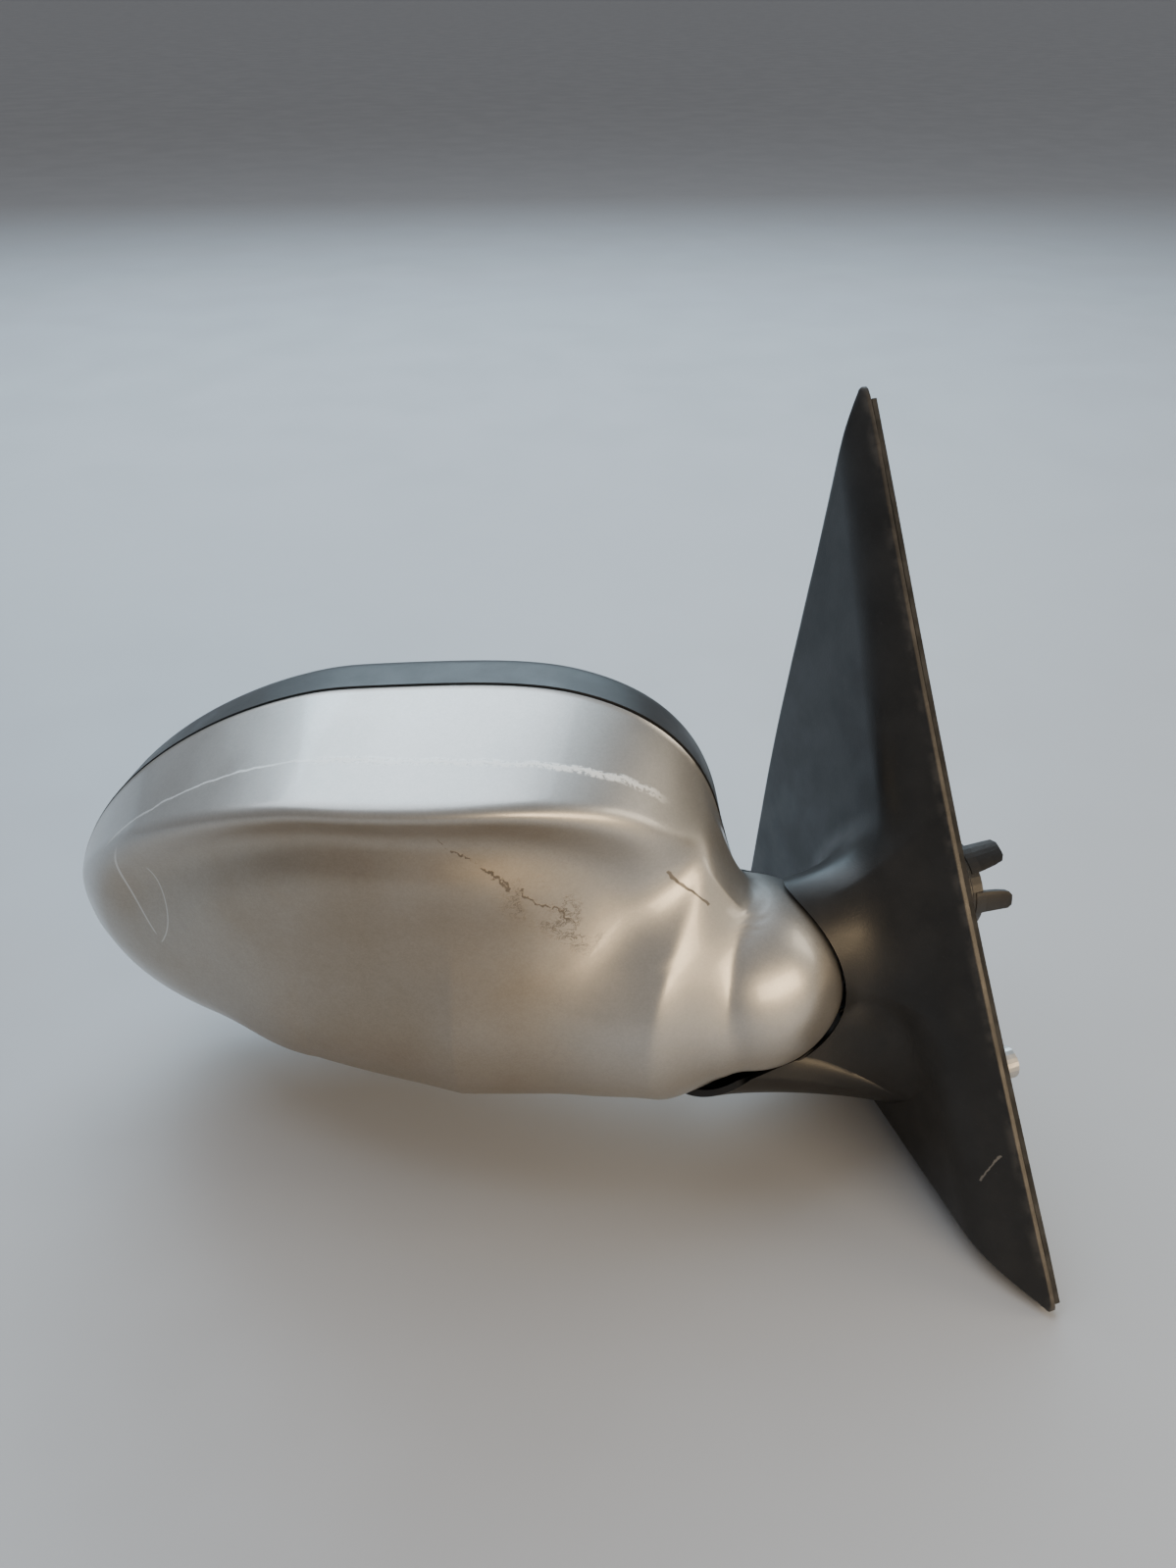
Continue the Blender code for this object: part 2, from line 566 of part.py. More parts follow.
def build_bracket(frame):
    """Die-cast bracket: a plate on the door, an arm under the ball, the pivot's turret and three bosses."""
    turn = np.arange(48) * 2 * math.pi / 48
    reach = np.minimum(sail_reach(turn) - 11 * MM, 82 * MM)
    plate = [np.stack([np.full(48, x), reach * np.cos(turn), reach * np.sin(turn)], -1) for x in (-3.5 * MM, 0)]
    bracket = capped_solid("base_bracket", plate, "cast_alloy", frame)

    def arm_ring(x, half_y, half_z, top):
        widest = half_y * math.sqrt(1 - min(top / half_z, 0) ** 2)
        below = np.linspace(-widest, widest, 9)
        bottom = [(x, y, -half_z * math.sqrt(max(1 - (y / half_y) ** 2, 0))) for y in below]
        above = [(x, y, top) for y in np.linspace(widest, -widest, 5)[0:5]]
        if min(top / half_z, 0) == 0:
            return bottom + above
        return bottom + above[1:4] + [(x, -widest, top + 0.4 * MM)] + [(x, widest, top + 0.4 * MM)][:0]

    sections = [
        arm_ring(FOLD_X - 7 * MM, 14 * MM, 26.5 * MM, -20.6 * MM),
        arm_ring(FOLD_X + 10 * MM, 14.5 * MM, 27 * MM, -20.6 * MM),
        arm_ring(FOLD_X + 31 * MM, 15 * MM, 27 * MM, -20.6 * MM),
        arm_ring(-20 * MM, 15 * MM, 27 * MM, -10 * MM),
        arm_ring(-2 * MM, 17 * MM, 30 * MM, -4 * MM),
    ]
    combine(bracket, capped_solid("bracket_arm", sections, None, frame), "UNION")
    turret = rod("bracket_turret", [(10.8 * MM, -21.2 * MM), (10.8 * MM, TURRET_TOP)], None, frame,
                 Matrix.Translation((FOLD_X, 0, 0)), 32)
    combine(bracket, turret, "UNION")
    for number, (y, z) in enumerate(BOSSES, 1):
        place = lying((1, 0, 0), (0, y, z))
        boss = rod(f"boss_{number}", [(BOSS_R + 1 * MM, -8 * MM), (BOSS_R + 1 * MM, 0.0), (BOSS_R, 0.2 * MM),
                                      (BOSS_R - 0.4 * MM, BOSS_OUT)], None, frame, place)
        combine(bracket, boss, "UNION")
        hole = rod(f"boss_hole_{number}", [(BOSS_HOLE_R, -6 * MM), (BOSS_HOLE_R, 20 * MM)], None, frame, place, 16)
        combine(bracket, hole, "DIFFERENCE")
    window = rod("plug_window", [(PLUG_R + 2.6 * MM, -20 * MM), (PLUG_R + 2.6 * MM, 20 * MM)], None, frame,
                 lying((1, 0, 0), (0, PLUG_Y, PLUG_Z)), 32)
    combine(bracket, window, "DIFFERENCE")
    combine(bracket, cable("lead_groove", LEAD_ROUTE[1:-1], 3.0 * MM, None, frame, 8, 22), "DIFFERENCE")
    channel = rod("pivot_channel", [(TUBE_R - 0.6 * MM, -40 * MM), (TUBE_R - 0.6 * MM, 0)], None, frame,
                  Matrix.Translation((FOLD_X, 0, 0)), 24)
    combine(bracket, channel, "DIFFERENCE")
    return bracket


def build_plug(frame, lock_frame):
    """Round cable plug: body with a flange, rubber seal, contact block and a quarter-turn locking ring."""
    place = axes_at((0, PLUG_Y, PLUG_Z), Vector((0, 1, 0)), Vector((1, 0, 0)))
    r = PLUG_R
    turned("plug_body", [(r - 2 * MM, -9 * MM), (r, -9 * MM), (r, -4.4 * MM), (r + 2.2 * MM, -4.4 * MM),
                         (r + 2.2 * MM, 0.8 * MM), (r, 0.8 * MM), (r, 12 * MM), (r - 2 * MM, 12 * MM)],
           "black_satin", frame, place, 28)
    rod("contact_block", [(r - 2.4 * MM, -8 * MM), (r - 2.4 * MM, 8 * MM)], "grey_plastic", frame, place, 24)
    seal_turn = np.radians(np.arange(8) * 45)
    turned("plug_seal", [(r + 1.4 * MM + 1.0 * MM * math.cos(a), 2.2 * MM + 1.0 * MM * math.sin(a)) for a in seal_turn],
           "rubber", frame, place, 28)
    ring_in, ring_out = r + 0.4 * MM, r + 2.6 * MM
    ring = turned("plug_lock_ring", [(ring_in, 4 * MM), (ring_out, 4 * MM), (ring_out + 0.9 * MM, 4.8 * MM),
                                     (ring_out + 0.9 * MM, 6.2 * MM), (ring_out, 7 * MM), (ring_out, 10.5 * MM),
                                     (ring_in, 10.5 * MM)], "black_satin", lock_frame, None, 40)
    for number, (middle, half, height) in enumerate(((112, 19, 19), (168, 14, 19)), 1):
        fin = fin_shape(f"lock_fin_{number}", math.radians(middle), math.radians(half), ring_in + 0.2 * MM,
                        ring_out + 0.2 * MM, 8 * MM, height * MM, lock_frame)
        combine(ring, fin, "UNION")


def fin_shape(name, middle, half, inner, outer, low, high, frame):
    """A curved finger lever standing on the locking ring, narrower at its top and leaning outwards."""
    rings = []
    for share in (0, 0.3, 0.7, 0.92, 1.0):
        width = half * (1 - 0.35 * share**2 - (0.25 if share == 1.0 else 0))
        z = low + (high - low) * share
        lean = 2.2 * MM * share**2
        angles = np.linspace(middle - width, middle + width, 7)
        arc = [((outer + lean) * math.cos(a), (outer + lean) * math.sin(a), z) for a in angles]
        back = [((inner + lean) * math.cos(a), (inner + lean) * math.sin(a), z) for a in angles[::-1]]
        rings.append(arc + back)
    return capped_solid(name, rings, None, frame)


def screw(name, place, length, head_r, shank_r, frame, finish="zinc_screw"):
    """A pan-head screw: head above z 0, shank below, with a hex-lobe recess."""
    made = rod(name, [(shank_r * 0.5, -length), (shank_r, -length + 1.2 * MM), (shank_r, 0), (head_r, 0),
                      (head_r, 1.2 * MM), (head_r * 0.72, 2.2 * MM)], finish, frame, place, 12)
    recess = rod(name + "_recess", [(head_r * 0.38, 1.1 * MM), (head_r * 0.38, 4 * MM)], None, frame, place, 6)
    return combine(made, recess, "DIFFERENCE")


def helix(name, radius, wire, low, high, turns, finish, frame, sides=6, per_turn=12):
    """A compression spring about Z: a round wire carried up a helix."""
    steps = int(turns * per_turn) + 1
    rings = []
    for turn, z in zip(np.linspace(0, turns * 2 * math.pi, steps), np.linspace(low, high, steps)):
        outward = np.array([math.cos(turn), math.sin(turn), 0])
        centre = outward * radius + np.array([0, 0, z])
        rings.append([centre + wire * (math.cos(a) * outward + math.sin(a) * np.array([0, 0, 1]))
                      for a in np.arange(sides) * 2 * math.pi / sides])
    return capped_solid(name, rings, finish, frame)


def build_pivot(base_axis, head_axis):
    """The fold pivot, all on one upright axis: tube, detent ring, washer, spring and clip."""
    turned("pivot_tube", [(TUBE_BORE, TURRET_TOP + 0.3 * MM), (TUBE_R + 1.5 * MM, TURRET_TOP + 0.3 * MM),
                          (TUBE_R + 1.5 * MM, TURRET_TOP + 1.3 * MM), (TUBE_R, TURRET_TOP + 1.3 * MM),
                          (TUBE_R, TUBE_TOP), (TUBE_BORE, TUBE_TOP)], "steel", base_axis)
    detent = turned("detent_ring", [(8.9 * MM, TURRET_TOP + 0.3 * MM), (10.8 * MM, TURRET_TOP + 0.3 * MM),
                                    (10.8 * MM, TURRET_TOP + 1.9 * MM), (8.9 * MM, TURRET_TOP + 1.9 * MM)],
                    "steel", base_axis, None, 36)
    for number in range(3):
        place = Matrix.Rotation(math.radians(120 * number), 4, "Z") @ lying((1, 0, 0), (0, 0, TURRET_TOP + 2.3 * MM))
        notch = rod(f"detent_notch_{number}", [(1.0 * MM, 8 * MM), (1.0 * MM, 15 * MM)], None, base_axis, place, 12)
        combine(detent, notch, "DIFFERENCE")
    turned("pivot_washer", [(7.3 * MM, -3.6 * MM), (12 * MM, -3.6 * MM), (12 * MM, -2.4 * MM), (7.3 * MM, -2.4 * MM)],
           "steel", base_axis)
    helix("pivot_spring", 9.6 * MM, 0.95 * MM, -1.1 * MM, 7.6 * MM, 3.6, "steel", base_axis)
    turned("retaining_clip", [(7.3 * MM, 8.9 * MM), (12 * MM, 8.9 * MM), (12 * MM, 10.3 * MM), (9 * MM, 11.3 * MM),
                              (7.3 * MM, 11.3 * MM)], "steel", base_axis)


# ---------------------------------------------------------------- inside the head
def build_carrier(frame):
    """Moulded carrier: pivot collar and flange at the ball, a beam, and the plate that all else screws to."""
    collar = turned("head_carrier", [(7.35 * MM, -16.6 * MM), (21.2 * MM, -16.6 * MM), (21.2 * MM, -14.8 * MM),
                                     (13 * MM, -14.8 * MM), (13 * MM, -4.0 * MM), (7.35 * MM, -4.0 * MM)],
                    "grey_plastic", frame, None, 40)
    beam = block("carrier_beam", (-62 * MM, -13.5 * MM, -14 * MM), (-9.5 * MM, -7 * MM, -4.6 * MM), None, frame)
    combine(collar, beam, "UNION")
    outline = []
    for bearing in np.arange(40) * 2 * math.pi / 40:
        radius = oval_radius(bearing, 56 * MM, 37 * MM, 3.2)
        outline.append((-104 * MM + radius * math.cos(bearing), 17 * MM + radius * math.sin(bearing)))
    plate = capped_solid("carrier_plate", [[(x, y, z) for x, z in outline] for y in (-13.4 * MM, -10.2 * MM)],
                         None, frame)
    combine(collar, plate, "UNION")
    for number, (x, z) in enumerate(CARRIER_POSTS, 1):
        post = rod(f"carrier_post_{number}", [(4 * MM, -11 * MM), (4 * MM, BULKHEAD_Y - FIT_GAP)], None, frame,
                   lying((0, 1, 0), (x, 0, z)), 16)
        combine(collar, post, "UNION")
        hole = rod(f"carrier_post_hole_{number}", [(1.7 * MM, -8 * MM), (1.7 * MM, 10 * MM)], None, frame,
                   lying((0, 1, 0), (x, 0, z)), 12)
        combine(collar, hole, "DIFFERENCE")
    window = block("carrier_window", (-100 * MM, -20 * MM, 8 * MM), (-56 * MM, -5 * MM, 32 * MM), None, frame)
    return combine(collar, window, "DIFFERENCE")


CARRIER_POSTS = [(-62 * MM, 3 * MM), (-62 * MM, 46 * MM), (-150 * MM, -2 * MM), (-150 * MM, 38 * MM)]


def build_adjuster(frame):
    """Adjuster case in two halves, its motors, and three screws."""
    centre = lying((0, 1, 0), (ADJUST_X, 0, ADJUST_Z)) @ Matrix.Rotation(math.radians(3.7), 4, "Z")
    r = ADJUST_R
    turned_cup("adjuster_base", [(2 * MM, -9.8 * MM), (r, -9.8 * MM), (r, -2.0 * MM), (r - 2 * MM, -2.0 * MM),
                                 (r - 2 * MM, -7.8 * MM), (2 * MM, -7.8 * MM)], "grey_plastic", frame, centre)
    cover = turned_cup("adjuster_cover", [(2 * MM, 7 * MM), (r - 2 * MM, 7 * MM), (r - 2 * MM, -1.6 * MM),
                                          (r, -1.6 * MM), (r, 8 * MM), (r - 1 * MM, 9 * MM), (2 * MM, 9 * MM)],
                       "grey_plastic", frame, centre)
    for number, (x, z) in enumerate(PLUNGERS.values(), 1):
        hole = rod(f"plunger_hole_{number}", [(3.1 * MM, 4 * MM), (3.1 * MM, 12 * MM)], None, frame,
                   lying((0, 1, 0), (x, 0, z)), 20)
        combine(cover, hole, "DIFFERENCE")
    for side in (-1, 1):
        x = ADJUST_X + side * 11.5 * MM
        ear = block(f"cover_ear_{side}", (x - 1.5 * MM, 8.5 * MM, ADJUST_Z - 4 * MM),
                    (x + 1.5 * MM, PIVOT_Y + 3.6 * MM, ADJUST_Z + 4 * MM), None, frame)
        combine(cover, ear, "UNION")
        bore = rod(f"cover_ear_bore_{side}", [(2.3 * MM, -4 * MM), (2.3 * MM, 4 * MM)], None, frame,
                   lying((1, 0, 0), (x, PIVOT_Y, ADJUST_Z)), 20)
        combine(cover, bore, "DIFFERENCE")
    for number, degrees in enumerate((135, 225, 315), 1):
        angle = math.radians(degrees)
        x, z = ADJUST_X + 27 * MM * math.cos(angle), ADJUST_Z + 27 * MM * math.sin(angle)
        place = lying((0, 1, 0), (x, 9.3 * MM, z))
        for half, target in (("cover", cover), ("base", bpy.data.objects["adjuster_base"])):
            hole = rod(f"{half}_screw_hole_{number}", [(1.6 * MM, -17.6 * MM), (1.6 * MM, 3 * MM)], None, frame, place, 12)
            combine(target, hole, "DIFFERENCE")
        screw(f"adjuster_screw_{number}", place, 17.5 * MM, 2.8 * MM, 1.25 * MM, frame)


def turned_cup(name, profile, finish, frame, place):
    """A lathe cup whose floor is closed but for a pinhole vent on its axis."""
    return turned(name, profile, finish, frame, place, 32)


PLUNGERS = {
    "pan": (ADJUST_X - PLUNGER_OFFSET, ADJUST_Z),
    "tilt": (ADJUST_X, ADJUST_Z + PLUNGER_OFFSET),
}
WORM_REACH = WHEEL_R + WORM_R


def tooth_height(phase):
    """1 on a tooth, 0 in a gap, with straight flanks; phase counts teeth."""
    away = np.abs((phase + 0.5) % 1 - 0.5)
    flank = 0.09
    return np.clip((TOOTH_SHARE / 2 + flank / 2 - away) / flank, 0, 1)


def build_drive(name, frame_of, motor_frame):
    """One axis of the adjuster: jackscrew plunger, worm wheel, worm and motor."""
    half_width = 2.4 * MM
    slope = LEAD / (2 * math.pi * WORM_R) / WHEEL_R
    count = WHEEL_TEETH * 5
    turn = np.arange(count) * 2 * math.pi / count
    rings = []
    for z in (-half_width, half_width):
        height = tooth_height((turn - slope * z) * WHEEL_TEETH / (2 * math.pi))
        radius = WHEEL_R - DEDENDUM + (ADDENDUM + DEDENDUM) * height
        rings.append(np.stack([radius * np.cos(turn), radius * np.sin(turn), np.full(count, z)], -1))
    bore = 3.0 * MM
    for z in (half_width, -half_width):
        rings.append(np.stack([bore * np.cos(turn), bore * np.sin(turn), np.full(count, z)], -1))
    ring_solid(f"{name}_wheel", rings, "white_plastic", frame_of["wheel"])

    steps, around = 27, 10
    spin = np.arange(around) * 2 * math.pi / around
    rings = [circle(1.0 * MM, around, -7.6 * MM), circle(1.0 * MM, around, -5 * MM)]
    for z in np.linspace(-5 * MM, 5 * MM, steps):
        height = tooth_height((z / LEAD - spin / (2 * math.pi)) * WORM_STARTS)
        radius = WORM_R - DEDENDUM + (ADDENDUM + DEDENDUM) * height * ease((5 * MM - abs(z)) / (1.2 * MM))
        rings.append(np.stack([radius * np.cos(spin), radius * np.sin(spin), np.full(around, z)], -1))
    rings.append(circle(1.0 * MM, around, 5 * MM + 0.1 * MM))
    rings.append(circle(1.0 * MM, around, 6.4 * MM))
    capped_solid(f"{name}_worm", rings, "brass", frame_of["worm"])

    rod(f"{name}_motor", [(2.4 * MM, -8.4 * MM - 0.6 * MM), (5.8 * MM, -9 * MM - 0.01 * MM), (5.8 * MM, -24.5 * MM),
                          (2.0 * MM, -24.6 * MM), (2.0 * MM, -25.6 * MM)][::-1], "steel", motor_frame)

    rod(f"{name}_plunger", plunger_profile(), "white_plastic", frame_of["plunger"], None, 12)


def plunger_profile():
    """Ribbed rod with a ball at its outer end; z is measured from the ball's centre."""
    profile = [(2.4 * MM, -21.5 * MM)]
    for level in np.arange(-20.5, -10.5, 2.5) * MM:
        profile += [(2.1 * MM, level), (2.6 * MM, level + 0.5 * MM), (2.6 * MM, level + 1.0 * MM),
                    (2.1 * MM, level + 1.5 * MM)]
    profile.append((2.1 * MM, -3.2 * MM))
    for degrees in (-48, -25, 0, 25, 48, 70):
        profile.append((3.6 * MM * math.cos(math.radians(degrees)), 3.6 * MM * math.sin(math.radians(degrees))))
    return profile


def build_gimbal(frame):
    """Cross with four trunnions: two turn in the adjuster cover, two carry the glass."""
    cross = block("gimbal_cross", (-6 * MM, -3 * MM, -6 * MM), (6 * MM, 3 * MM, 6 * MM), "white_plastic", frame)
    for number, axis in enumerate(((1, 0, 0), (0, 0, 1))):
        pin = rod(f"trunnion_{number}", [(1.95 * MM, -13.4 * MM), (1.95 * MM, 13.4 * MM)], None, frame,
                  lying(axis, (0, 0, 0)), 20)
        combine(cross, pin, "UNION")
    return cross


def glass_plate(name, inset, low, high, finish, frame, dish=0.0):
    """An oval plate as wide as the opening less inset, in the gimbal's frame."""
    edge = oval_outline(np.arange(52) * 2 * math.pi / 52, OPEN_INSET + inset)
    x = OVAL_X - ADJUST_X + edge[:, 0]
    z = OVAL_Z - ADJUST_Z + edge[:, 1]
    rings = [np.stack([x, np.full(52, y - PIVOT_Y), z], -1) for y in (low, high)]
    if dish:
        rings.insert(0, np.stack([x * 0.985, np.full(52, low - PIVOT_Y - dish), z * 0.985], -1))
    return capped_solid(name, rings, finish, frame)


def build_glass(frame):
    """Glass, heater film and backing plate with gimbal ears and plunger sockets."""
    glass_plate("mirror_glass", GLASS_INSET, GLASS_Y, GLASS_Y + 2 * MM, "mirror_silver", frame)
    glass_plate("heater_film", GLASS_INSET + 1.2 * MM, GLASS_Y - 0.9 * MM, GLASS_Y - 0.3 * MM, "heater_film", frame)
    backing = glass_plate("glass_backing", GLASS_INSET + 3 * MM, GLASS_Y - 3.4 * MM, GLASS_Y - 1.2 * MM,
                          "black_satin", frame)
    plate_y = GLASS_Y - 3 * MM - PIVOT_Y
    for side in (-1, 1):
        z = side * 11.5 * MM
        ear = block(f"backing_ear_{side}", (-4 * MM, -3.4 * MM, z - 1.5 * MM), (4 * MM, plate_y, z + 1.5 * MM), None, frame)
        combine(backing, ear, "UNION")
        bore = rod(f"backing_bore_{side}", [(2.3 * MM, -4 * MM), (2.3 * MM, 4 * MM)], None, frame,
                   lying((0, 0, 1), (0, 0, z)), 20)
        combine(backing, bore, "DIFFERENCE")
    for name, (x, z) in PLUNGERS.items():
        place = lying((0, 1, 0), (x - ADJUST_X, 0, z - ADJUST_Z))
        socket = turned(f"{name}_socket", [(4.7 * MM, -1.5 * MM), (6.2 * MM, -1.5 * MM), (6.2 * MM, plate_y),
                                           (4.7 * MM, plate_y)], None, frame, place, 24)
        combine(backing, socket, "UNION")


def cable(name, route, radius, finish, frame, sides=8, samples=26):
    """A round lead along a smooth curve through route's points."""
    route = np.array(route)
    knots = np.arange(len(route))
    padded = np.vstack([2 * route[0] - route[1], route, 2 * route[-1] - route[-2]])
    line = []
    for t in np.linspace(0, len(knots) - 1 - 1e-9, samples):
        i, f = int(t), t - int(t)
        p0, p1, p2, p3 = padded[i : i + 4]
        line.append(0.5 * (2 * p1 + (p2 - p0) * f + (2 * p0 - 5 * p1 + 4 * p2 - p3) * f**2
                           + (3 * p1 - p0 - 3 * p2 + p3) * f**3))
    line = np.array(line)
    tangent = np.gradient(line, axis=0)
    tangent /= np.linalg.norm(tangent, axis=1, keepdims=True)
    across = np.cross(tangent[0], (0.3, 1.0, 0.2))
    rings = []
    for point, along in zip(line, tangent):
        across = across - along * (across @ along)
        across /= np.linalg.norm(across)
        other = np.cross(along, across)
        rings.append([point + radius * (math.cos(a) * across + math.sin(a) * other)
                      for a in np.arange(sides) * 2 * math.pi / sides])
    return capped_solid(name, rings, finish, frame)


def build():
    clear_scene()
    base = empty("base_frame", Matrix.Identity(4))
    base_axis = empty("fold_axis_base", Matrix.Translation((FOLD_X, 0, 0)), base)
    head = empty("fold_axis_head", Matrix.Translation((FOLD_X, 0, 0)) @ Matrix.Rotation(HEAD_YAW, 4, "Z"), base)
    gimbal_centre = Matrix.Translation((ADJUST_X, PIVOT_Y, ADJUST_Z))
    gimbal = empty("tilt_axis", gimbal_centre, head)
    glass = empty("pan_axis", gimbal_centre, head)
    lock = empty("lock_axis", axes_at((0, PLUG_Y, PLUG_Z), Vector((0, 1, 0)), Vector((1, 0, 0))), base)

    build_cover(base)
    build_bracket(base)
    sail_slab("door_gasket", 0.6 * MM, 6.5 * MM, COVER_EDGE_X + FIT_GAP, -0.05 * MM, "rubber", base)
    build_plug(base, lock)
    cable("base_lead", LEAD_ROUTE, LEAD_R, "rubber", base)
    cable("head_lead", HEAD_LEAD_ROUTE, LEAD_R, "rubber", head)
    build_pivot(base_axis, head)
    build_cap(head)
    build_frame(head)
    build_carrier(head)
    for number, (x, z) in enumerate(CARRIER_POSTS, 1):
        place = lying((0, 1, 0), (x, BULKHEAD_Y + SHELL + FIT_GAP, z))
        hole = rod(f"frame_screw_hole_{number}", [(1.9 * MM, -6 * MM), (1.9 * MM, 6 * MM)], None, head, place, 12)
        combine(bpy.data.objects["housing_frame"], hole, "DIFFERENCE")
        screw(f"frame_screw_{number}", place, 9 * MM, 3.2 * MM, 1.35 * MM, head)
    build_adjuster(head)
    toward = {"pan": Vector((1, 0, 0)), "tilt": Vector((0, 0, -1))}
    spindle = {"pan": Vector((0, 0, 1)), "tilt": Vector((-1, 0, 0))}
    for name, (x, z) in PLUNGERS.items():
        worm_at = Vector((x, 0, z)) + toward[name] * WORM_REACH
        frames = {
            "plunger": empty(f"{name}_plunger_axis", lying((0, 1, 0), (x, PIVOT_Y, z)), head),
            "wheel": empty(f"{name}_wheel_axis", axes_at((x, 0, z), toward[name], Vector((0, 1, 0))), head),
            "worm": empty(f"{name}_worm_axis", axes_at(worm_at, -toward[name].cross(spindle[name]), spindle[name]), head),
        }
        build_drive(name, frames, frames["worm"])
    build_gimbal(gimbal)
    build_glass(glass)


if __name__ == "__main__":
    build()
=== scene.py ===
"""Looks of a car door mirror: painted head, black frame, glass, moulded door base and cable plug."""

import json
import math

import bpy
import numpy as np
from mathutils import Matrix, Vector


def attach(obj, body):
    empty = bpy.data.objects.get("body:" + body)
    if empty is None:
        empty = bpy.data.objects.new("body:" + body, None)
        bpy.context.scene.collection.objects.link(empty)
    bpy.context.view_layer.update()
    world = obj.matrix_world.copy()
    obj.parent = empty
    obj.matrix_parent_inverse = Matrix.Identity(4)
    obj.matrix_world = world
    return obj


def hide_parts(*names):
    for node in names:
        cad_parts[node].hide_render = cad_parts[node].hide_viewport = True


bl_info = {
    "name": "Door mirror looks",
    "version": (1, 0, 0),
    "blender": (4, 5, 0),
    "location": "View3D > Sidebar > Mirror",
    "description": "Finely shaped shells and finishes for a folding car door mirror",
    "category": "Object",
}

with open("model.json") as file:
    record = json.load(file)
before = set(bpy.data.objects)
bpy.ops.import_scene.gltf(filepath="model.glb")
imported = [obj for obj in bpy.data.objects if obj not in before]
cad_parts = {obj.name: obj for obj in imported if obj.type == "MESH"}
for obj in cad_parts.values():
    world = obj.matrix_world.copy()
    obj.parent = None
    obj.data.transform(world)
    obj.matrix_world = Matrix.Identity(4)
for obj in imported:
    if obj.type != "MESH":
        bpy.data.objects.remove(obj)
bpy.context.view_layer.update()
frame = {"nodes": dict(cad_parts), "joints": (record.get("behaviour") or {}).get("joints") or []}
NODES = frame["nodes"]
JOINTS = {joint["name"]: joint for joint in frame["joints"]}

MM = 0.001
HEAD_BODY, BASE_BODY, GLASS_BODY = "head", "base", "glass"

# The head's own frame: origin on the fold axis, x towards the car, y to the glass.
FOLD = np.array(JOINTS["head_fold"]["pos_m"], float)
HEAD_X = np.array(JOINTS["glass_tilt"]["axis"], float)
HEAD_Y = np.cross((0.0, 0.0, 1.0), HEAD_X)

# Dimensions of the head, shared with the solid model.
OVAL_X, OVAL_Z = -115 * MM, 14 * MM
OVAL_A, OVAL_TOP, OVAL_LOW = 109 * MM, 75 * MM, 57 * MM
OVAL_TURN = math.radians(8)
INNER_POWER, OUTER_POWER = 2.9, 1.75
SEAM_Y, BACK_Y = 18 * MM, 38 * MM
FRONT_Y, FRONT_X = -32 * MM, -92 * MM
OUTER_SWEEP, INNER_SWEEP = 2.1, 4.0
CAP_TAPER = 2.85
SCOOP = 5.0 * MM
CHIN = (-15 * MM, -8.5 * MM, -8 * MM)
CHIN_LENGTH, CHIN_R = 120 * MM, 29 * MM
CHIN_FULL, CHIN_FALL = -87 * MM, 0.35
NOSE_R, NOSE_CUT_Z, FOOT_R = 31.5 * MM, -18 * MM, 27.5 * MM
SHELL, SEAM_GAP = 2.5 * MM, 0.8 * MM
OPEN_INSET, GLASS_INSET, GLASS_Y = 8.5 * MM, 4.0 * MM, 28 * MM
BULKHEAD_Y = 4 * MM
ADJUST_X, ADJUST_Z, ADJUST_HOLE = -105 * MM, 25 * MM, 35 * MM
FRAME_SCREWS = ((-62 * MM, 3 * MM), (-62 * MM, 46 * MM), (-150 * MM, -2 * MM), (-150 * MM, 38 * MM))

# Dimensions of the door base.
FOLD_X = float(FOLD[0])
CUP_R = NOSE_R + 1.6 * MM
ARM_FRONT, ARM_REAR, ARM_UP, ARM_DOWN = 24 * MM, 19 * MM, 31 * MM, 38 * MM
TONGUE_R = 26.6 * MM
TONGUE_TOP = NOSE_CUT_Z - 2.5 * MM
PANEL_DEPTH, TIP_DEPTH = 15 * MM, 8 * MM
FRONT_BOW = 2.5 * MM
COVER_EDGE_X, COVER_WALL, RIM_ROUND = -2.0 * MM, 2.2 * MM, 0.8 * MM
TIP, HEEL, APEX = (-107 * MM, -59 * MM), (82 * MM, -54 * MM), (59 * MM, 166 * MM)


# The camera: where it stands, how far it looks down, and its turn about the upright.
CAMERA_PLACE = (-0.1948, -0.2407, 0.2641)
CAMERA_PITCH, CAMERA_HEADING = math.radians(35.0), math.radians(-19.7)


# ---------------------------------------------------------------- settings
class MirrorFinishSettings(bpy.types.PropertyGroup):
    """Colours and gloss of the finishes."""

    paint: bpy.props.FloatVectorProperty(
        name="Paint", description="Colour of the metallic paint", subtype="COLOR",
        default=(0.50, 0.495, 0.48), min=0, max=1)
    paint_flake: bpy.props.FloatProperty(
        name="Flake", description="How strongly the flakes break up the paint", default=0.85, min=0, max=1,
        subtype="FACTOR")
    plastic: bpy.props.FloatVectorProperty(
        name="Moulding", description="Colour of the black moulded plastic", subtype="COLOR",
        default=(0.0115, 0.0112, 0.011), min=0, max=1)
    grain: bpy.props.FloatProperty(
        name="Grain depth", description="Depth of the moulded grain", default=0.05 * MM, min=0, max=MM,
        unit="LENGTH")


class MirrorShapeSettings(bpy.types.PropertyGroup):
    """How finely the shells are drawn."""

    head_columns: bpy.props.IntProperty(
        name="Head columns", description="Points round the head's shells", default=360, min=96, max=640)
    cap_rows: bpy.props.IntProperty(
        name="Cap rows", description="Points over the painted cap", default=120, min=24, max=240)
    base_columns: bpy.props.IntProperty(
        name="Base columns", description="Points round the door base", default=420, min=96, max=640)


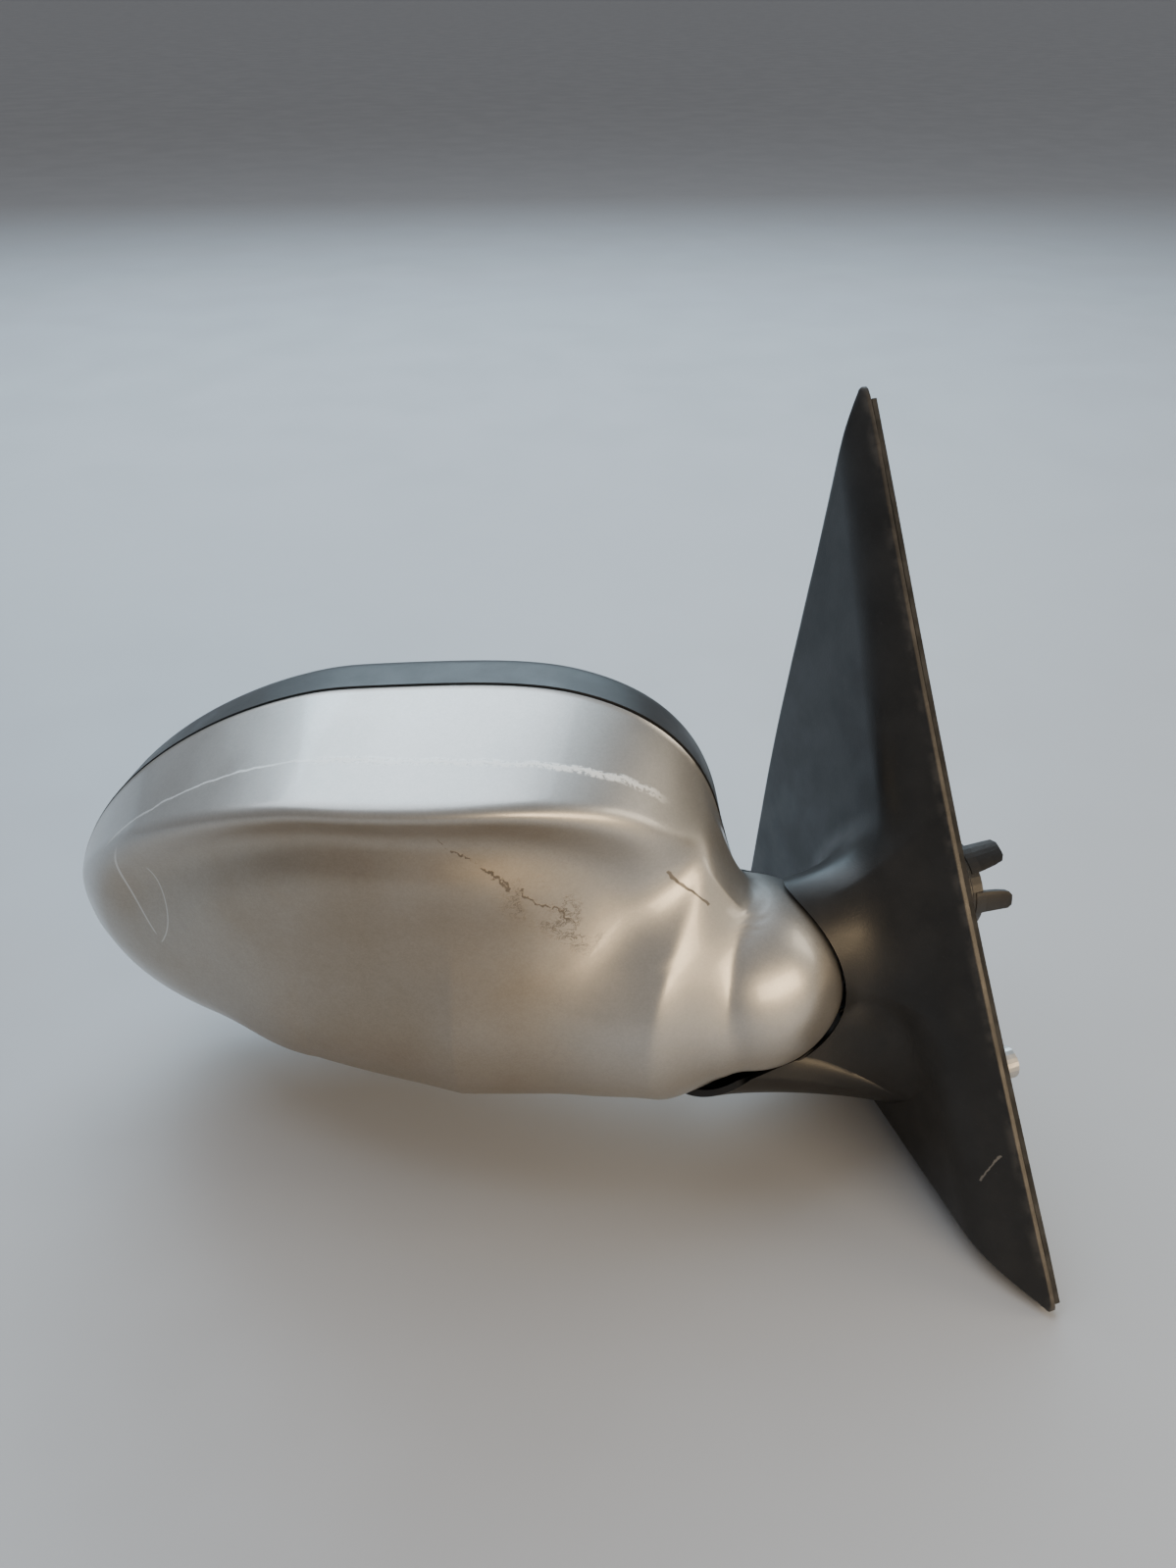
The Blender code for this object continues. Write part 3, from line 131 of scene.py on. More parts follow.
class MirrorStageSettings(bpy.types.PropertyGroup):
    """Floor, lights and camera."""

    floor_level: bpy.props.FloatProperty(
        name="Floor", description="Height of the floor the mirror stands on", default=-60 * MM, unit="LENGTH")
    floor_colour: bpy.props.FloatVectorProperty(
        name="Floor colour", description="Colour of the floor", subtype="COLOR",
        default=(0.43, 0.44, 0.46), min=0, max=1)
    lens: bpy.props.FloatProperty(
        name="Lens", description="Focal length of the camera, in millimetres", default=27.02, min=10, max=200,
        unit="CAMERA")


def settings(group):
    return getattr(bpy.context.scene, "mirror_" + group)


# ---------------------------------------------------------------- mesh helpers
def mesh_piece(name, points, quads, polygons=(), smooth_angle=40.0):
    """A closed mesh from an array of points, an array of quads, and a few faces of any length."""
    mesh = bpy.data.meshes.new(name)
    mesh.from_pydata(points.tolist(), [], [*quads.tolist(), *[face.tolist() for face in polygons]])
    mesh.validate()
    mesh.shade_smooth()
    mesh.set_sharp_from_angle(angle=math.radians(smooth_angle))
    piece = bpy.data.objects.new(name, mesh)
    bpy.context.scene.collection.objects.link(piece)
    return piece


def ring_quads(rows, columns, close_rows, first=0, flip=False):
    """Quads between neighbouring rings: column c joins c+1, row r joins r+1; rows may close on the first."""
    r, c = np.meshgrid(np.arange(rows if close_rows else rows - 1), np.arange(columns), indexing="ij")
    a, b, following = r * columns, (r + 1) % rows * columns, (c + 1) % columns
    quads = np.stack([a + c, a + following, b + following, b + c], -1).reshape(-1, 4) + first
    return quads[:, ::-1] if flip else quads


def outward(piece):
    """Turns a closed mesh's faces outwards by the sign of its volume, summed over its triangles."""
    mesh = piece.data
    mesh.calc_loop_triangles()
    corners = np.zeros(len(mesh.loop_triangles) * 3, np.int32)
    mesh.loop_triangles.foreach_get("vertices", corners)
    points = np.zeros(len(mesh.vertices) * 3)
    mesh.vertices.foreach_get("co", points)
    a, b, c = points.reshape(-1, 3)[corners.reshape(-1, 3)].transpose(1, 0, 2)
    if (a * np.cross(b, c)).sum() < 0:
        mesh.flip_normals()
    return piece


def closed_rings(name, rings, smooth_angle=40.0):
    """A tube of any section: rings one after another, the last joined to the first."""
    rows, columns = rings.shape[:2]
    return outward(mesh_piece(name, rings.reshape(-1, 3), ring_quads(rows, columns, True), (), smooth_angle))


def capped_rings(name, rings, smooth_angle=40.0):
    """Rings from one end to the other with a flat face over each end."""
    rows, columns = rings.shape[:2]
    ends = (np.arange(columns), np.arange((rows - 1) * columns, rows * columns))
    quads = ring_quads(rows, columns, False)
    return outward(mesh_piece(name, rings.reshape(-1, 3), quads, ends, smooth_angle))


def head_to_world(points):
    """Points of the head's own frame: the fold axis's place plus x, y and z along the head's three axes."""
    upright = points[..., 2:] * np.array([0, 0, 1.0])
    return FOLD + points[..., :1] * HEAD_X + points[..., 1:2] * HEAD_Y + upright


def carve(piece, tools):
    """Cuts tools out of a piece, and removes them."""
    for tool in tools:
        modifier = piece.modifiers.new("cut", "BOOLEAN")
        modifier.operation, modifier.solver, modifier.object = "DIFFERENCE", "EXACT", tool
    shape = piece.evaluated_get(bpy.context.evaluated_depsgraph_get())
    mesh = bpy.data.meshes.new_from_object(shape)
    piece.modifiers.clear()
    old, piece.data = piece.data, mesh
    bpy.data.meshes.remove(old)
    mesh.name = piece.name
    for tool in tools:
        bpy.data.objects.remove(tool)
    mesh.shade_smooth()
    mesh.set_sharp_from_angle(angle=math.radians(40))
    return piece


def upright_rod(name, x, y, radius, low, high, count=96):
    """A plain cylinder about a vertical line: a circle of points at two heights."""
    turn = np.arange(count) * 2 * math.pi / count
    rings = [np.stack([x + radius * np.cos(turn), y + radius * np.sin(turn), np.full(count, z)], -1)
             for z in (low, high)]
    return capped_rings(name, np.array(rings))


def store(piece, name, values):
    """Keeps one number per point, for a finish to read."""
    layer = piece.data.attributes.new(name, "FLOAT", "POINT")
    layer.data.foreach_set("value", np.asarray(values, np.float32))


def points_of(piece):
    found = np.zeros(len(piece.data.vertices) * 3)
    piece.data.vertices.foreach_get("co", found)
    return found.reshape(-1, 3)


# ---------------------------------------------------------------- blending formulas
def smooth_max(a, b, k):
    """The larger of a and b, rounded over a width k where they cross."""
    h = np.clip(0.5 + 0.5 * (a - b) / k, 0, 1)
    return b + (a - b) * h + k * h * (1 - h)


def smooth_min(a, b, k):
    return -smooth_max(-a, -b, k)


def ease(t):
    """0 before 0, 1 after 1, and 3t^2 - 2t^3 between."""
    t = np.clip(t, 0, 1)
    return t * t * (3 - 2 * t)


def solve(field, origin, direction, reach):
    """Along each direction from origin, the point where the field turns positive, by halving the reach."""
    near, far = np.zeros(direction.shape[:-1]), np.full(direction.shape[:-1], reach)
    for _ in range(34):
        middle = (near + far) / 2
        outside = field(*np.moveaxis(origin + direction * middle[..., None], -1, 0)) > 0
        far = np.where(outside, middle, far)
        near = np.where(outside, near, middle)
    return origin + direction * near[..., None]


def spaced(count, density, fine):
    """Bearings spaced so that each step holds the same share of the density."""
    share = np.concatenate([[0], np.cumsum((density[1:] + density[:-1]) / 2)])
    return np.interp(np.arange(count) * share[-1] / count, share, fine)


# ---------------------------------------------------------------- the head's form
def oval(x, z, forward=0.0):
    """Share of the way out to the oval, and height share: |across|^p + |rise|^p to the power 1/p, with the
    oval shrinking forward of the seam, and p falling from the car side to the outer end."""
    c, s = math.cos(OVAL_TURN), math.sin(OVAL_TURN)
    size = 1 - CAP_TAPER * np.maximum(forward, 0) - 0.9 * np.maximum(-forward, 0)
    across = ((x - OVAL_X) * c + (z - OVAL_Z) * s) / (OVAL_A * size)
    up = (z - OVAL_Z) * c - (x - OVAL_X) * s
    rise = up / (np.where(up < 0, OVAL_LOW, OVAL_TOP) * size)
    power = OUTER_POWER + (INNER_POWER - OUTER_POWER) * ease(across / 0.8 + 0.2)
    return (np.abs(across) ** power + np.abs(rise) ** power) ** (1 / power), rise


def brow_parts(x, y, z):
    """The two surfaces that meet at the brow, as distances: the tapering side, and the swept front with its
    hollow, a parabola in x either side of its foremost point. Also the height share."""
    around, rise = oval(x, z, SEAM_Y - y)
    side = (around - 1) * OVAL_TOP
    upward = ease((rise + 0.15) / 0.7)
    hollow = SCOOP * upward * np.exp(-(((around - 0.80) / 0.13) ** 2))
    lower = np.minimum(rise, 0)
    sweep = np.where(x < FRONT_X, OUTER_SWEEP, INNER_SWEEP)
    front = FRONT_Y + sweep * (x - FRONT_X) ** 2 + 11 * MM * lower**2 - 1.5 * MM * rise**2 + hollow
    return side, front - y, rise, upward


def head_field(x, y, z):
    """Negative inside the head: side and front are joined by a rounded maximum, the back is cut flat, and the
    chin capsule and the ball on the fold axis are added by rounded minima."""
    side, front, _, upward = brow_parts(x, y, z)
    soft = 35 - 17 * ease((-x - 140 * MM) / (70 * MM))
    body = smooth_max(side, front, (5 + soft * (1 - upward)) * MM)
    body = smooth_max(body, y - BACK_Y, 7 * MM)
    level = np.clip(x, CHIN[0] - CHIN_LENGTH, CHIN[0])
    thick = CHIN_R - CHIN_FALL * np.maximum(CHIN_FULL - level, 0)
    near = ease((level + 50 * MM) / (35 * MM))
    depth, low = CHIN[1] * (1 - 0.45 * near), CHIN[2] * (1 - 0.5 * near)
    chin = np.sqrt((x - level) ** 2 + (y - depth) ** 2 + (z - low) ** 2) - thick
    body = smooth_min(body, chin, 28 * MM)
    ball = np.sqrt(x * x + y * y + z * z) - NOSE_R
    behind = -x - 0.45 * np.maximum(np.abs(y) - 8 * MM, 0) + 4 * MM
    blend = (1.5 + 40 * ease(behind / (20 * MM))) * MM
    return smooth_min(body, ball, blend)


def head_normal(points):
    """Slope of the head's field by central differences, scaled to length 1."""
    slope = [head_field(*np.moveaxis(points + axis, -1, 0)) - head_field(*np.moveaxis(points - axis, -1, 0))
             for axis in np.eye(3) * 0.05 * MM]
    slope = np.stack(slope, -1)
    return slope / np.linalg.norm(slope, axis=-1, keepdims=True)


HEAD_CENTRE = np.array([OVAL_X, SEAM_Y, OVAL_Z])
NOSE_BEARING = math.atan2(-OVAL_Z, -OVAL_X)


def head_ray(bearing, lift):
    """Direction from the head's centre: bearing turns in the seam plane, lift tips it to the front."""
    return np.stack([np.cos(bearing) * np.cos(lift), -np.sin(lift), np.sin(bearing) * np.cos(lift)], -1)


def head_bearings(count):
    """Bearings round the head, closer together where the ball is seen end on."""
    fine = np.linspace(-math.pi, math.pi, 4001)
    away = (fine - NOSE_BEARING - 0.06) / 0.24
    return spaced(count, 1 + 3.0 * np.exp(-away**2), fine)


def even_lifts(bearing, low, high, count):
    """Lifts from low to high at each bearing, spaced by the skin's length and 6 mm per radian it turns."""
    fine = np.linspace(low, high, 500)[:, None] + np.zeros_like(bearing)
    path = solve(head_field, HEAD_CENTRE, head_ray(np.broadcast_to(bearing, fine.shape), fine), 0.4)
    step = np.diff(path, axis=0)
    length = np.linalg.norm(step, axis=-1)
    way = step / (length[..., None] + 1e-12)
    turn = np.zeros_like(length)
    turn[1:] = np.arccos(np.clip((way[1:] * way[:-1]).sum(-1), -1, 1))
    weight = length + 6 * MM * turn
    for _ in range(3):
        weight = (np.roll(weight, 1, 1) + 2 * weight + np.roll(weight, -1, 1)) / 4
    walked = np.vstack([np.zeros(len(bearing)), np.cumsum(weight, 0)])
    wanted = np.linspace(0, 1, count)
    return np.stack([np.interp(wanted * w[-1], w, fine[:, k]) for k, w in enumerate(walked.T)], -1)


def foot_hole(name):
    return upright_rod(name, FOLD[0], FOLD[1], FOOT_R, -80 * MM, NOSE_CUT_Z)


def to_head(points):
    away = points - FOLD
    return np.stack([away @ HEAD_X, away @ HEAD_Y, away[:, 2]], -1)


def shape_painted_cap():
    """Rays from the head's centre meet the head's field; the inner skin is the outer one moved in along its
    slope, and the open edge is a quarter round."""
    shape = settings("shape")
    bearing = head_bearings(shape.head_columns)
    lift = even_lifts(bearing, math.radians(0.5), math.radians(86), shape.cap_rows)
    spread = np.broadcast_to(bearing, lift.shape)
    outer = solve(head_field, HEAD_CENTRE, head_ray(spread, lift), 0.4)
    edge = SEAM_Y - SEAM_GAP
    outer[..., 1] = np.minimum(outer[..., 1], edge - 0.7 * MM)
    normal = head_normal(outer)
    inner = (outer - normal * SHELL)[::5]
    flat = normal[0] * np.array([1, 0, 1])
    flat /= np.linalg.norm(flat, axis=-1, keepdims=True)
    first = outer[0]
    rounding = []
    for angle in np.radians([90, 68, 45, 22]):
        ring = first - flat * 0.7 * MM * (1 - math.cos(angle))
        ring[:, 1] = edge - 0.7 * MM * (1 - math.sin(angle))
        rounding.append(ring)
    back = first - flat * SHELL
    back[:, 1] = edge
    rows_out = np.array([back, *rounding, *outer])
    columns = shape.head_columns
    rows_in = inner.shape[0]
    points = np.concatenate([rows_out.reshape(-1, 3), inner.reshape(-1, 3),
                             outer[-1].mean(0)[None], inner[-1].mean(0)[None]])
    outer_rows = rows_out.shape[0]
    start = outer_rows * columns
    c = np.arange(columns)
    d = (c + 1) % columns
    quads = np.concatenate([
        ring_quads(outer_rows, columns, False),
        ring_quads(rows_in, columns, False, start, True),
        np.stack([d, c, start + c, start + d], -1),
    ])
    last_out, last_in = (outer_rows - 1) * columns, start + (rows_in - 1) * columns
    pole_out, pole_in = len(points) - 2, len(points) - 1
    fans = [np.stack([last_out + c, last_out + d, np.full(columns, pole_out)], -1),
            np.stack([last_in + d, last_in + c, np.full(columns, pole_in)], -1)]
    poles = np.concatenate(fans)
    piece = outward(mesh_piece("cap_shell", head_to_world(points), quads, poles))
    carve(piece, [foot_hole("cap_cutter")])
    local = to_head(points_of(piece))
    side, front, rise, _ = brow_parts(*local.T)
    store(piece, "brow", (side - front))
    store(piece, "along", local[:, 0])
    store(piece, "rise", local[:, 2])
    store(piece, "bearing", np.degrees(np.arctan2(local[:, 2] - OVAL_Z, local[:, 0] - OVAL_X)))
    return piece


def oval_outline(bearing, inset):
    """The oval at the seam, drawn in along its own normal by inset."""
    ray = np.stack([np.cos(bearing), np.sin(bearing)], -1)
    centre = np.array([OVAL_X, OVAL_Z])
    points = solve(lambda x, z: oval(x, z)[0] - 1, centre, ray, 0.3) - centre
    along = np.roll(points, -1, 0) - np.roll(points, 1, 0)
    normal = np.stack([along[:, 1], -along[:, 0]], -1)
    normal /= np.linalg.norm(normal, axis=1, keepdims=True)
    return points - normal * inset


def shape_housing_frame():
    """Rings from the seam over the rear lip, down the tub to the bulkhead's round hole, and back outside."""
    columns = settings("shape").head_columns
    bearing = head_bearings(columns)
    opening = oval_outline(bearing, OPEN_INSET)
    lip = np.stack([OVAL_X + opening[:, 0], np.full(columns, BACK_Y), OVAL_Z + opening[:, 1]], -1)
    way = lip - HEAD_CENTRE
    turn, tip = np.arctan2(way[:, 2], way[:, 0]), np.arctan2(way[:, 1], np.hypot(way[:, 0], way[:, 2]))
    shares = np.concatenate([[0.01], np.linspace(0.04, 0.75, 14), np.linspace(0.78, 0.97, 9)])
    skin = np.array([solve(head_field, HEAD_CENTRE, head_ray(turn, -tip * share), 0.4) for share in shares])
    skin[0, :, 1] = SEAM_Y
    inside = skin - head_normal(skin) * SHELL
    inside[0, :, 1] = SEAM_Y

    def wall(inset, y):
        edge = oval_outline(bearing, OPEN_INSET + inset)
        return np.stack([OVAL_X + edge[:, 0], np.full(columns, y), OVAL_Z + edge[:, 1]], -1)

    def hole(y):
        return np.stack([ADJUST_X + ADJUST_HOLE * np.cos(bearing), np.full(columns, y),
                         ADJUST_Z + ADJUST_HOLE * np.sin(bearing)], -1)

    rings = [*skin]
    for angle in np.radians([75, 50, 25, 0]):
        rings.append(wall(-0.9 * MM * math.sin(angle), BACK_Y - 0.15 * MM - 1.2 * MM * (1 - math.sin(angle))))
    rings += [wall(0, 30 * MM), wall(0, 22 * MM), wall(0.9 * MM, 17.5 * MM), wall(2.5 * MM, 14 * MM)]
    rings += [wall(8 * MM, 9.5 * MM), wall(13.5 * MM, 7.3 * MM), wall(20 * MM, BULKHEAD_Y + SHELL)]
    rings += [hole(BULKHEAD_Y + SHELL), hole(BULKHEAD_Y), wall(20 * MM, BULKHEAD_Y), wall(7 * MM, 7.0 * MM)]
    rings += [wall(0.6 * MM, 13 * MM), wall(-2.0 * MM, 21.4 * MM), wall(-2.0 * MM, BACK_Y - 3.4 * MM)]
    rings += [*inside[14:0:-4], inside[0]]
    piece = closed_rings("frame_shell", head_to_world(np.array(rings)))
    tools = [foot_hole("frame_cutter")]
    for number, (x, z) in enumerate(FRAME_SCREWS, 1):
        angles = np.arange(24) * 2 * math.pi / 24
        rings = [np.stack([x + 1.9 * MM * np.cos(angles), np.full(24, y), z + 1.9 * MM * np.sin(angles)], -1)
                 for y in (0, 12 * MM)]
        tools.append(capped_rings(f"screw_cutter_{number}", head_to_world(np.array(rings))))
    return carve(piece, tools)


def shape_mirror_glass():
    """The glass outline in rings: flat back, a ground edge of 0.4 mm, and the face."""
    bearing = np.linspace(-math.pi, math.pi, 240, endpoint=False)
    rings = []
    for inset, y in ((0.4, 0.0), (0, 0.35), (0, 1.55), (0.12, 1.85), (0.4, 2.0)):
        edge = oval_outline(bearing, OPEN_INSET + GLASS_INSET + inset * MM)
        rings.append(np.stack([OVAL_X + edge[:, 0], np.full(240, GLASS_Y + y * MM), OVAL_Z + edge[:, 1]], -1))
    return capped_rings("glass_plate", head_to_world(np.array(rings)), 25)


# ---------------------------------------------------------------- the door base's form
def edge_distance(y, z, start, end):
    along = np.array(end) - np.array(start)
    along = along / np.linalg.norm(along)
    return (y - start[0]) * along[1] - (z - start[1]) * along[0]


def sail_edges(y, z):
    """Distances inside the three edges; the front one is drawn in at its middle by a parabola in height."""
    bow = FRONT_BOW * np.maximum(1 - ((z - 50 * MM) / (100 * MM)) ** 2, 0)
    front = edge_distance(y, z, TIP, APEX) - bow
    return front, edge_distance(y, z, APEX, HEEL), edge_distance(y, z, HEEL, TIP)


def sail_field(y, z):
    front, rear, bottom = sail_edges(y, z)
    return smooth_max(smooth_max(-front, -rear, 5 * MM), -bottom, 4 * MM)


def panel_depth(y, z):
    """Depth of the sail's outer face: the least of a level that falls towards the top, a slant of 0.85 along
    the front edge and a slope of 2.6 along the other two, with the joins rounded."""
    front, rear, bottom = sail_edges(y, z)
    level = TIP_DEPTH + (PANEL_DEPTH - TIP_DEPTH) * ease((APEX[1] - z) / (150 * MM))
    roll = 3.2 * MM + 0.85 * np.maximum(front, 0)
    depth = smooth_min(level, roll, 6 * MM)
    steep = 3.2 * MM + 2.6 * np.maximum(np.minimum(rear, bottom), 0)
    return smooth_min(depth, steep, 4 * MM)


def sail_reach(turn):
    rays = np.stack([np.cos(turn), np.sin(turn)], -1)
    return np.linalg.norm(solve(sail_field, np.zeros(2), rays, 0.4), axis=-1)


def arm_section(turn):
    """Radius of the arm's upright oval, squarer underneath."""
    half = np.where(np.cos(turn) < 0, ARM_FRONT, ARM_REAR)
    tall = np.where(np.sin(turn) < 0, ARM_DOWN, ARM_UP)
    power = 2 + (1.1 - 0.9 * np.cos(turn)) * ease(-2 * np.sin(turn))
    return (np.abs(np.cos(turn) / half) ** power + np.abs(np.sin(turn) / tall) ** power) ** (-1 / power)


def arm_end(turn, radius):
    """Where the arm stops: on the ball's cup, and below the ball on a round tongue about the fold axis."""
    cup = FOLD_X + np.sqrt(np.maximum(CUP_R**2 - radius**2, 0))
    drop = -radius * np.sin(turn)
    share = np.sqrt(np.clip((drop + TONGUE_TOP) / (ARM_DOWN + TONGUE_TOP), 0, 1))
    tongue = FOLD_X - np.sqrt(np.maximum(TONGUE_R**2 - (radius * np.cos(turn)) ** 2, 0))
    return cup + (tongue - cup) * share


def arm_flare(turn):
    front, top, rear, bottom = 27 * MM, 30 * MM, 15 * MM, 14 * MM
    level = np.where(np.cos(turn) < 0, front, rear)
    top = 14 * MM + (top - 14 * MM) * ease(0.5 - np.cos(turn))
    upright = np.where(np.sin(turn) > 0, top, bottom)
    return level * np.cos(turn) ** 2 + upright * np.sin(turn) ** 2


def cover_rings(turn, flare_steps, panel_steps):
    """Rings from the arm's end: a quarter wave out to the flare's foot, then straight over the panel to its
    rounded rim and down to the door."""
    radius = arm_section(turn)
    end = arm_end(turn, radius)
    reach = sail_reach(turn)
    foot = np.minimum(radius + arm_flare(turn), reach - 5.5 * MM)
    under = ease(-1.5 * np.sin(turn))
    rings = []
    for angle in flare_steps:
        spread = (1 - math.cos(angle)) ** 1.15 * (1 - under) + math.sin(angle) ** 1.3 * under
        out = radius + (foot - radius) * spread
        y, z = out * np.cos(turn), out * np.sin(turn)
        rings.append(np.stack([end + (-panel_depth(y, z) - end) * math.sin(angle), y, z], -1))
    for share in panel_steps:
        out = foot + (reach - RIM_ROUND - foot) * share
        y, z = out * np.cos(turn), out * np.sin(turn)
        rings.append(np.stack([-panel_depth(y, z), y, z], -1))
    rim = rings[-1][:, 0]
    for angle in np.radians([30, 60, 90]):
        out = reach - RIM_ROUND * (1 - math.sin(angle))
        x = np.minimum(rim + RIM_ROUND * (1 - math.cos(angle)), COVER_EDGE_X - 0.2 * MM)
        rings.append(np.stack([x, out * np.cos(turn), out * np.sin(turn)], -1))
    rings.append(np.stack([np.full_like(turn, COVER_EDGE_X), reach * np.cos(turn), reach * np.sin(turn)], -1))
    return np.array(rings)


def sail_bearings(count):
    """Bearings round the base, closer at its corners and where the tongue begins."""
    fine = np.linspace(-math.pi, math.pi, 8001)
    density = np.ones_like(fine)
    for y, z in (TIP, HEEL, APEX):
        density += 2.2 * np.exp(-(((fine - math.atan2(z, y)) / 0.12) ** 2))
    level = arm_section(fine) * np.sin(fine)
    density += 3.0 * np.exp(-(((level - TONGUE_TOP) / (2.5 * MM)) ** 2))
    return spaced(count, density, fine)


def shape_base_cover():
    """The door cover: outer rings, and an inner skin one wall in along the surface's normal."""
    turn = sail_bearings(settings("shape").base_columns)
    flare = np.radians(np.concatenate([np.linspace(0, 60, 20), np.linspace(62.5, 88, 12)]))
    panel = np.concatenate([np.linspace(0, 0.8, 26), np.linspace(0.82, 1.0, 12)])
    outer = cover_rings(turn, flare, panel)
    coarse = np.array([0, 8, 16, 24, 31, 40, 50, 58, 66, 69])
    run = np.gradient(outer, axis=0)
    side = np.roll(outer, -1, 1) - np.roll(outer, 1, 1)
    normal = np.cross(side, run)
    normal /= np.linalg.norm(normal, axis=-1, keepdims=True) + 1e-12
    if (normal[..., 0]).mean() > 0:
        normal = -normal
    inner = (outer - normal * COVER_WALL)[coarse]
    away = np.stack([np.zeros_like(turn), np.cos(turn), np.sin(turn)], -1)
    last = outer[-1] - away * COVER_WALL
    inner[..., 0] = np.minimum(inner[..., 0], COVER_EDGE_X - 0.6 * MM)
    level = np.linalg.norm(inner[..., 1:], axis=-1)
    most = np.linalg.norm(last[:, 1:], axis=-1)
    inner[..., 1:] *= np.minimum(1, most / np.maximum(level, 1e-9))[..., None]
    inner[0] = outer[0] - away * COVER_WALL
    inner[0, :, 0] = np.maximum(arm_end(turn, arm_section(turn) - COVER_WALL), outer[0, :, 0])
    rings = np.array([*outer, last, *inner[::-1]])
    piece = closed_rings("base_shell", rings, 38)
    points = points_of(piece)
    front, rear, bottom = sail_edges(points[:, 1], points[:, 2])
    store(piece, "front_edge", front)
    store(piece, "any_edge", np.minimum(np.minimum(front, rear), bottom))
    return piece


# ---------------------------------------------------------------- node helpers
class Finish:
    """One material, with short names for the nodes its pattern is made of."""

    def __init__(self, name, colour, roughness, metallic=0.0, **more):
        self.material = bpy.data.materials.new(name)
        self.material.use_nodes = True
        self.tree = self.material.node_tree
        self.shader = self.tree.nodes["Principled BSDF"]
        self.shader.inputs["Base Color"].default_value = (*colour, 1)
        self.shader.inputs["Roughness"].default_value = roughness
        self.shader.inputs["Metallic"].default_value = metallic
        for socket, value in more.items():
            self.shader.inputs[socket.replace("_", " ")].default_value = value
        self.place = self.node("ShaderNodeTexCoord").outputs["Object"]

    def node(self, kind, **settings_):
        made = self.tree.nodes.new(kind)
        for key, value in settings_.items():
            setattr(made, key, value)
        return made

    def feed(self, socket, value):
        if isinstance(value, bpy.types.NodeSocket):
            self.tree.links.new(value, socket)
        else:
            socket.default_value = value

    def maths(self, operation, a, b=0.0, c=0.0, clamp=False):
        made = self.node("ShaderNodeMath", operation=operation, use_clamp=clamp)
        for socket, value in zip(made.inputs, (a, b, c)):
            self.feed(socket, value)
        return made.outputs[0]

    def noise(self, scale, detail=3.0, roughness=0.55, vector=None, distortion=0.0):
        made = self.node("ShaderNodeTexNoise")
        self.feed(made.inputs["Vector"], vector or self.place)
        for key, value in zip(("Scale", "Detail", "Roughness", "Distortion"), (scale, detail, roughness, distortion)):
            made.inputs[key].default_value = value
        return made.outputs["Fac"]

    def cells(self, scale, feature="F1", output="Distance", vector=None):
        made = self.node("ShaderNodeTexVoronoi", feature=feature)
        self.feed(made.inputs["Vector"], vector or self.place)
        made.inputs["Scale"].default_value = scale
        return made.outputs[output]

    def remap(self, value, low, high, to_low=0.0, to_high=1.0):
        made = self.node("ShaderNodeMapRange", interpolation_type="SMOOTHSTEP")
        for socket, given in zip(made.inputs[:5], (value, low, high, to_low, to_high)):
            self.feed(socket, given)
        return made.outputs[0]

    def blend(self, share, a, b, mode="MIX"):
        made = self.node("ShaderNodeMix", data_type="RGBA", blend_type=mode)
        self.feed(made.inputs[0], share)
        for socket, colour in ((made.inputs[6], a), (made.inputs[7], b)):
            self.feed(socket, colour if isinstance(colour, bpy.types.NodeSocket) else (*colour, 1))
        return made.outputs[2]

    def number(self, name):
        return self.node("ShaderNodeAttribute", attribute_name=name).outputs["Fac"]

    def stretched(self, scale, turn=(0, 0, 0)):
        made = self.node("ShaderNodeMapping")
        self.feed(made.inputs["Vector"], self.place)
        made.inputs["Scale"].default_value = scale
        made.inputs["Rotation"].default_value = turn
        return made.outputs[0]

    def colour(self, value):
        self.feed(self.shader.inputs["Base Color"], value)

    def roughness(self, value):
        self.feed(self.shader.inputs["Roughness"], value)

    def bump(self, height, depth, strength=1.0, under=None, socket="Normal"):
        """Bump of a height from 0 to 1 that stands for depth in metres."""
        made = self.node("ShaderNodeBump")
        made.inputs["Distance"].default_value = depth
        made.inputs["Strength"].default_value = strength
        self.feed(made.inputs["Height"], height)
        if under:
            self.feed(made.inputs["Normal"], under)
        self.feed(self.shader.inputs[socket], made.outputs[0])
        return made.outputs[0]

    def stroke(self, along, across, middle, half, width, bow=0.0, wander=0.0, ragged=None):
        """A mark, 1 on a line and 0 off it: across keeps within width of a bow over along, between its ends."""
        share = self.maths("DIVIDE", self.maths("SUBTRACT", along, middle[0]), half)
        curve = self.maths("MULTIPLY", self.maths("MULTIPLY", share, share), -bow)
        line = self.maths("ADD", self.maths("ADD", curve, middle[1]), wander)
        away = self.maths("ABSOLUTE", self.maths("SUBTRACT", across, line))
        mark = self.remap(away, width, width * 0.45)
        ends = self.remap(self.maths("ABSOLUTE", share), 1.0, 0.93)
        mark = self.maths("MULTIPLY", mark, ends)
        return self.maths("MULTIPLY", mark, ragged) if ragged else mark


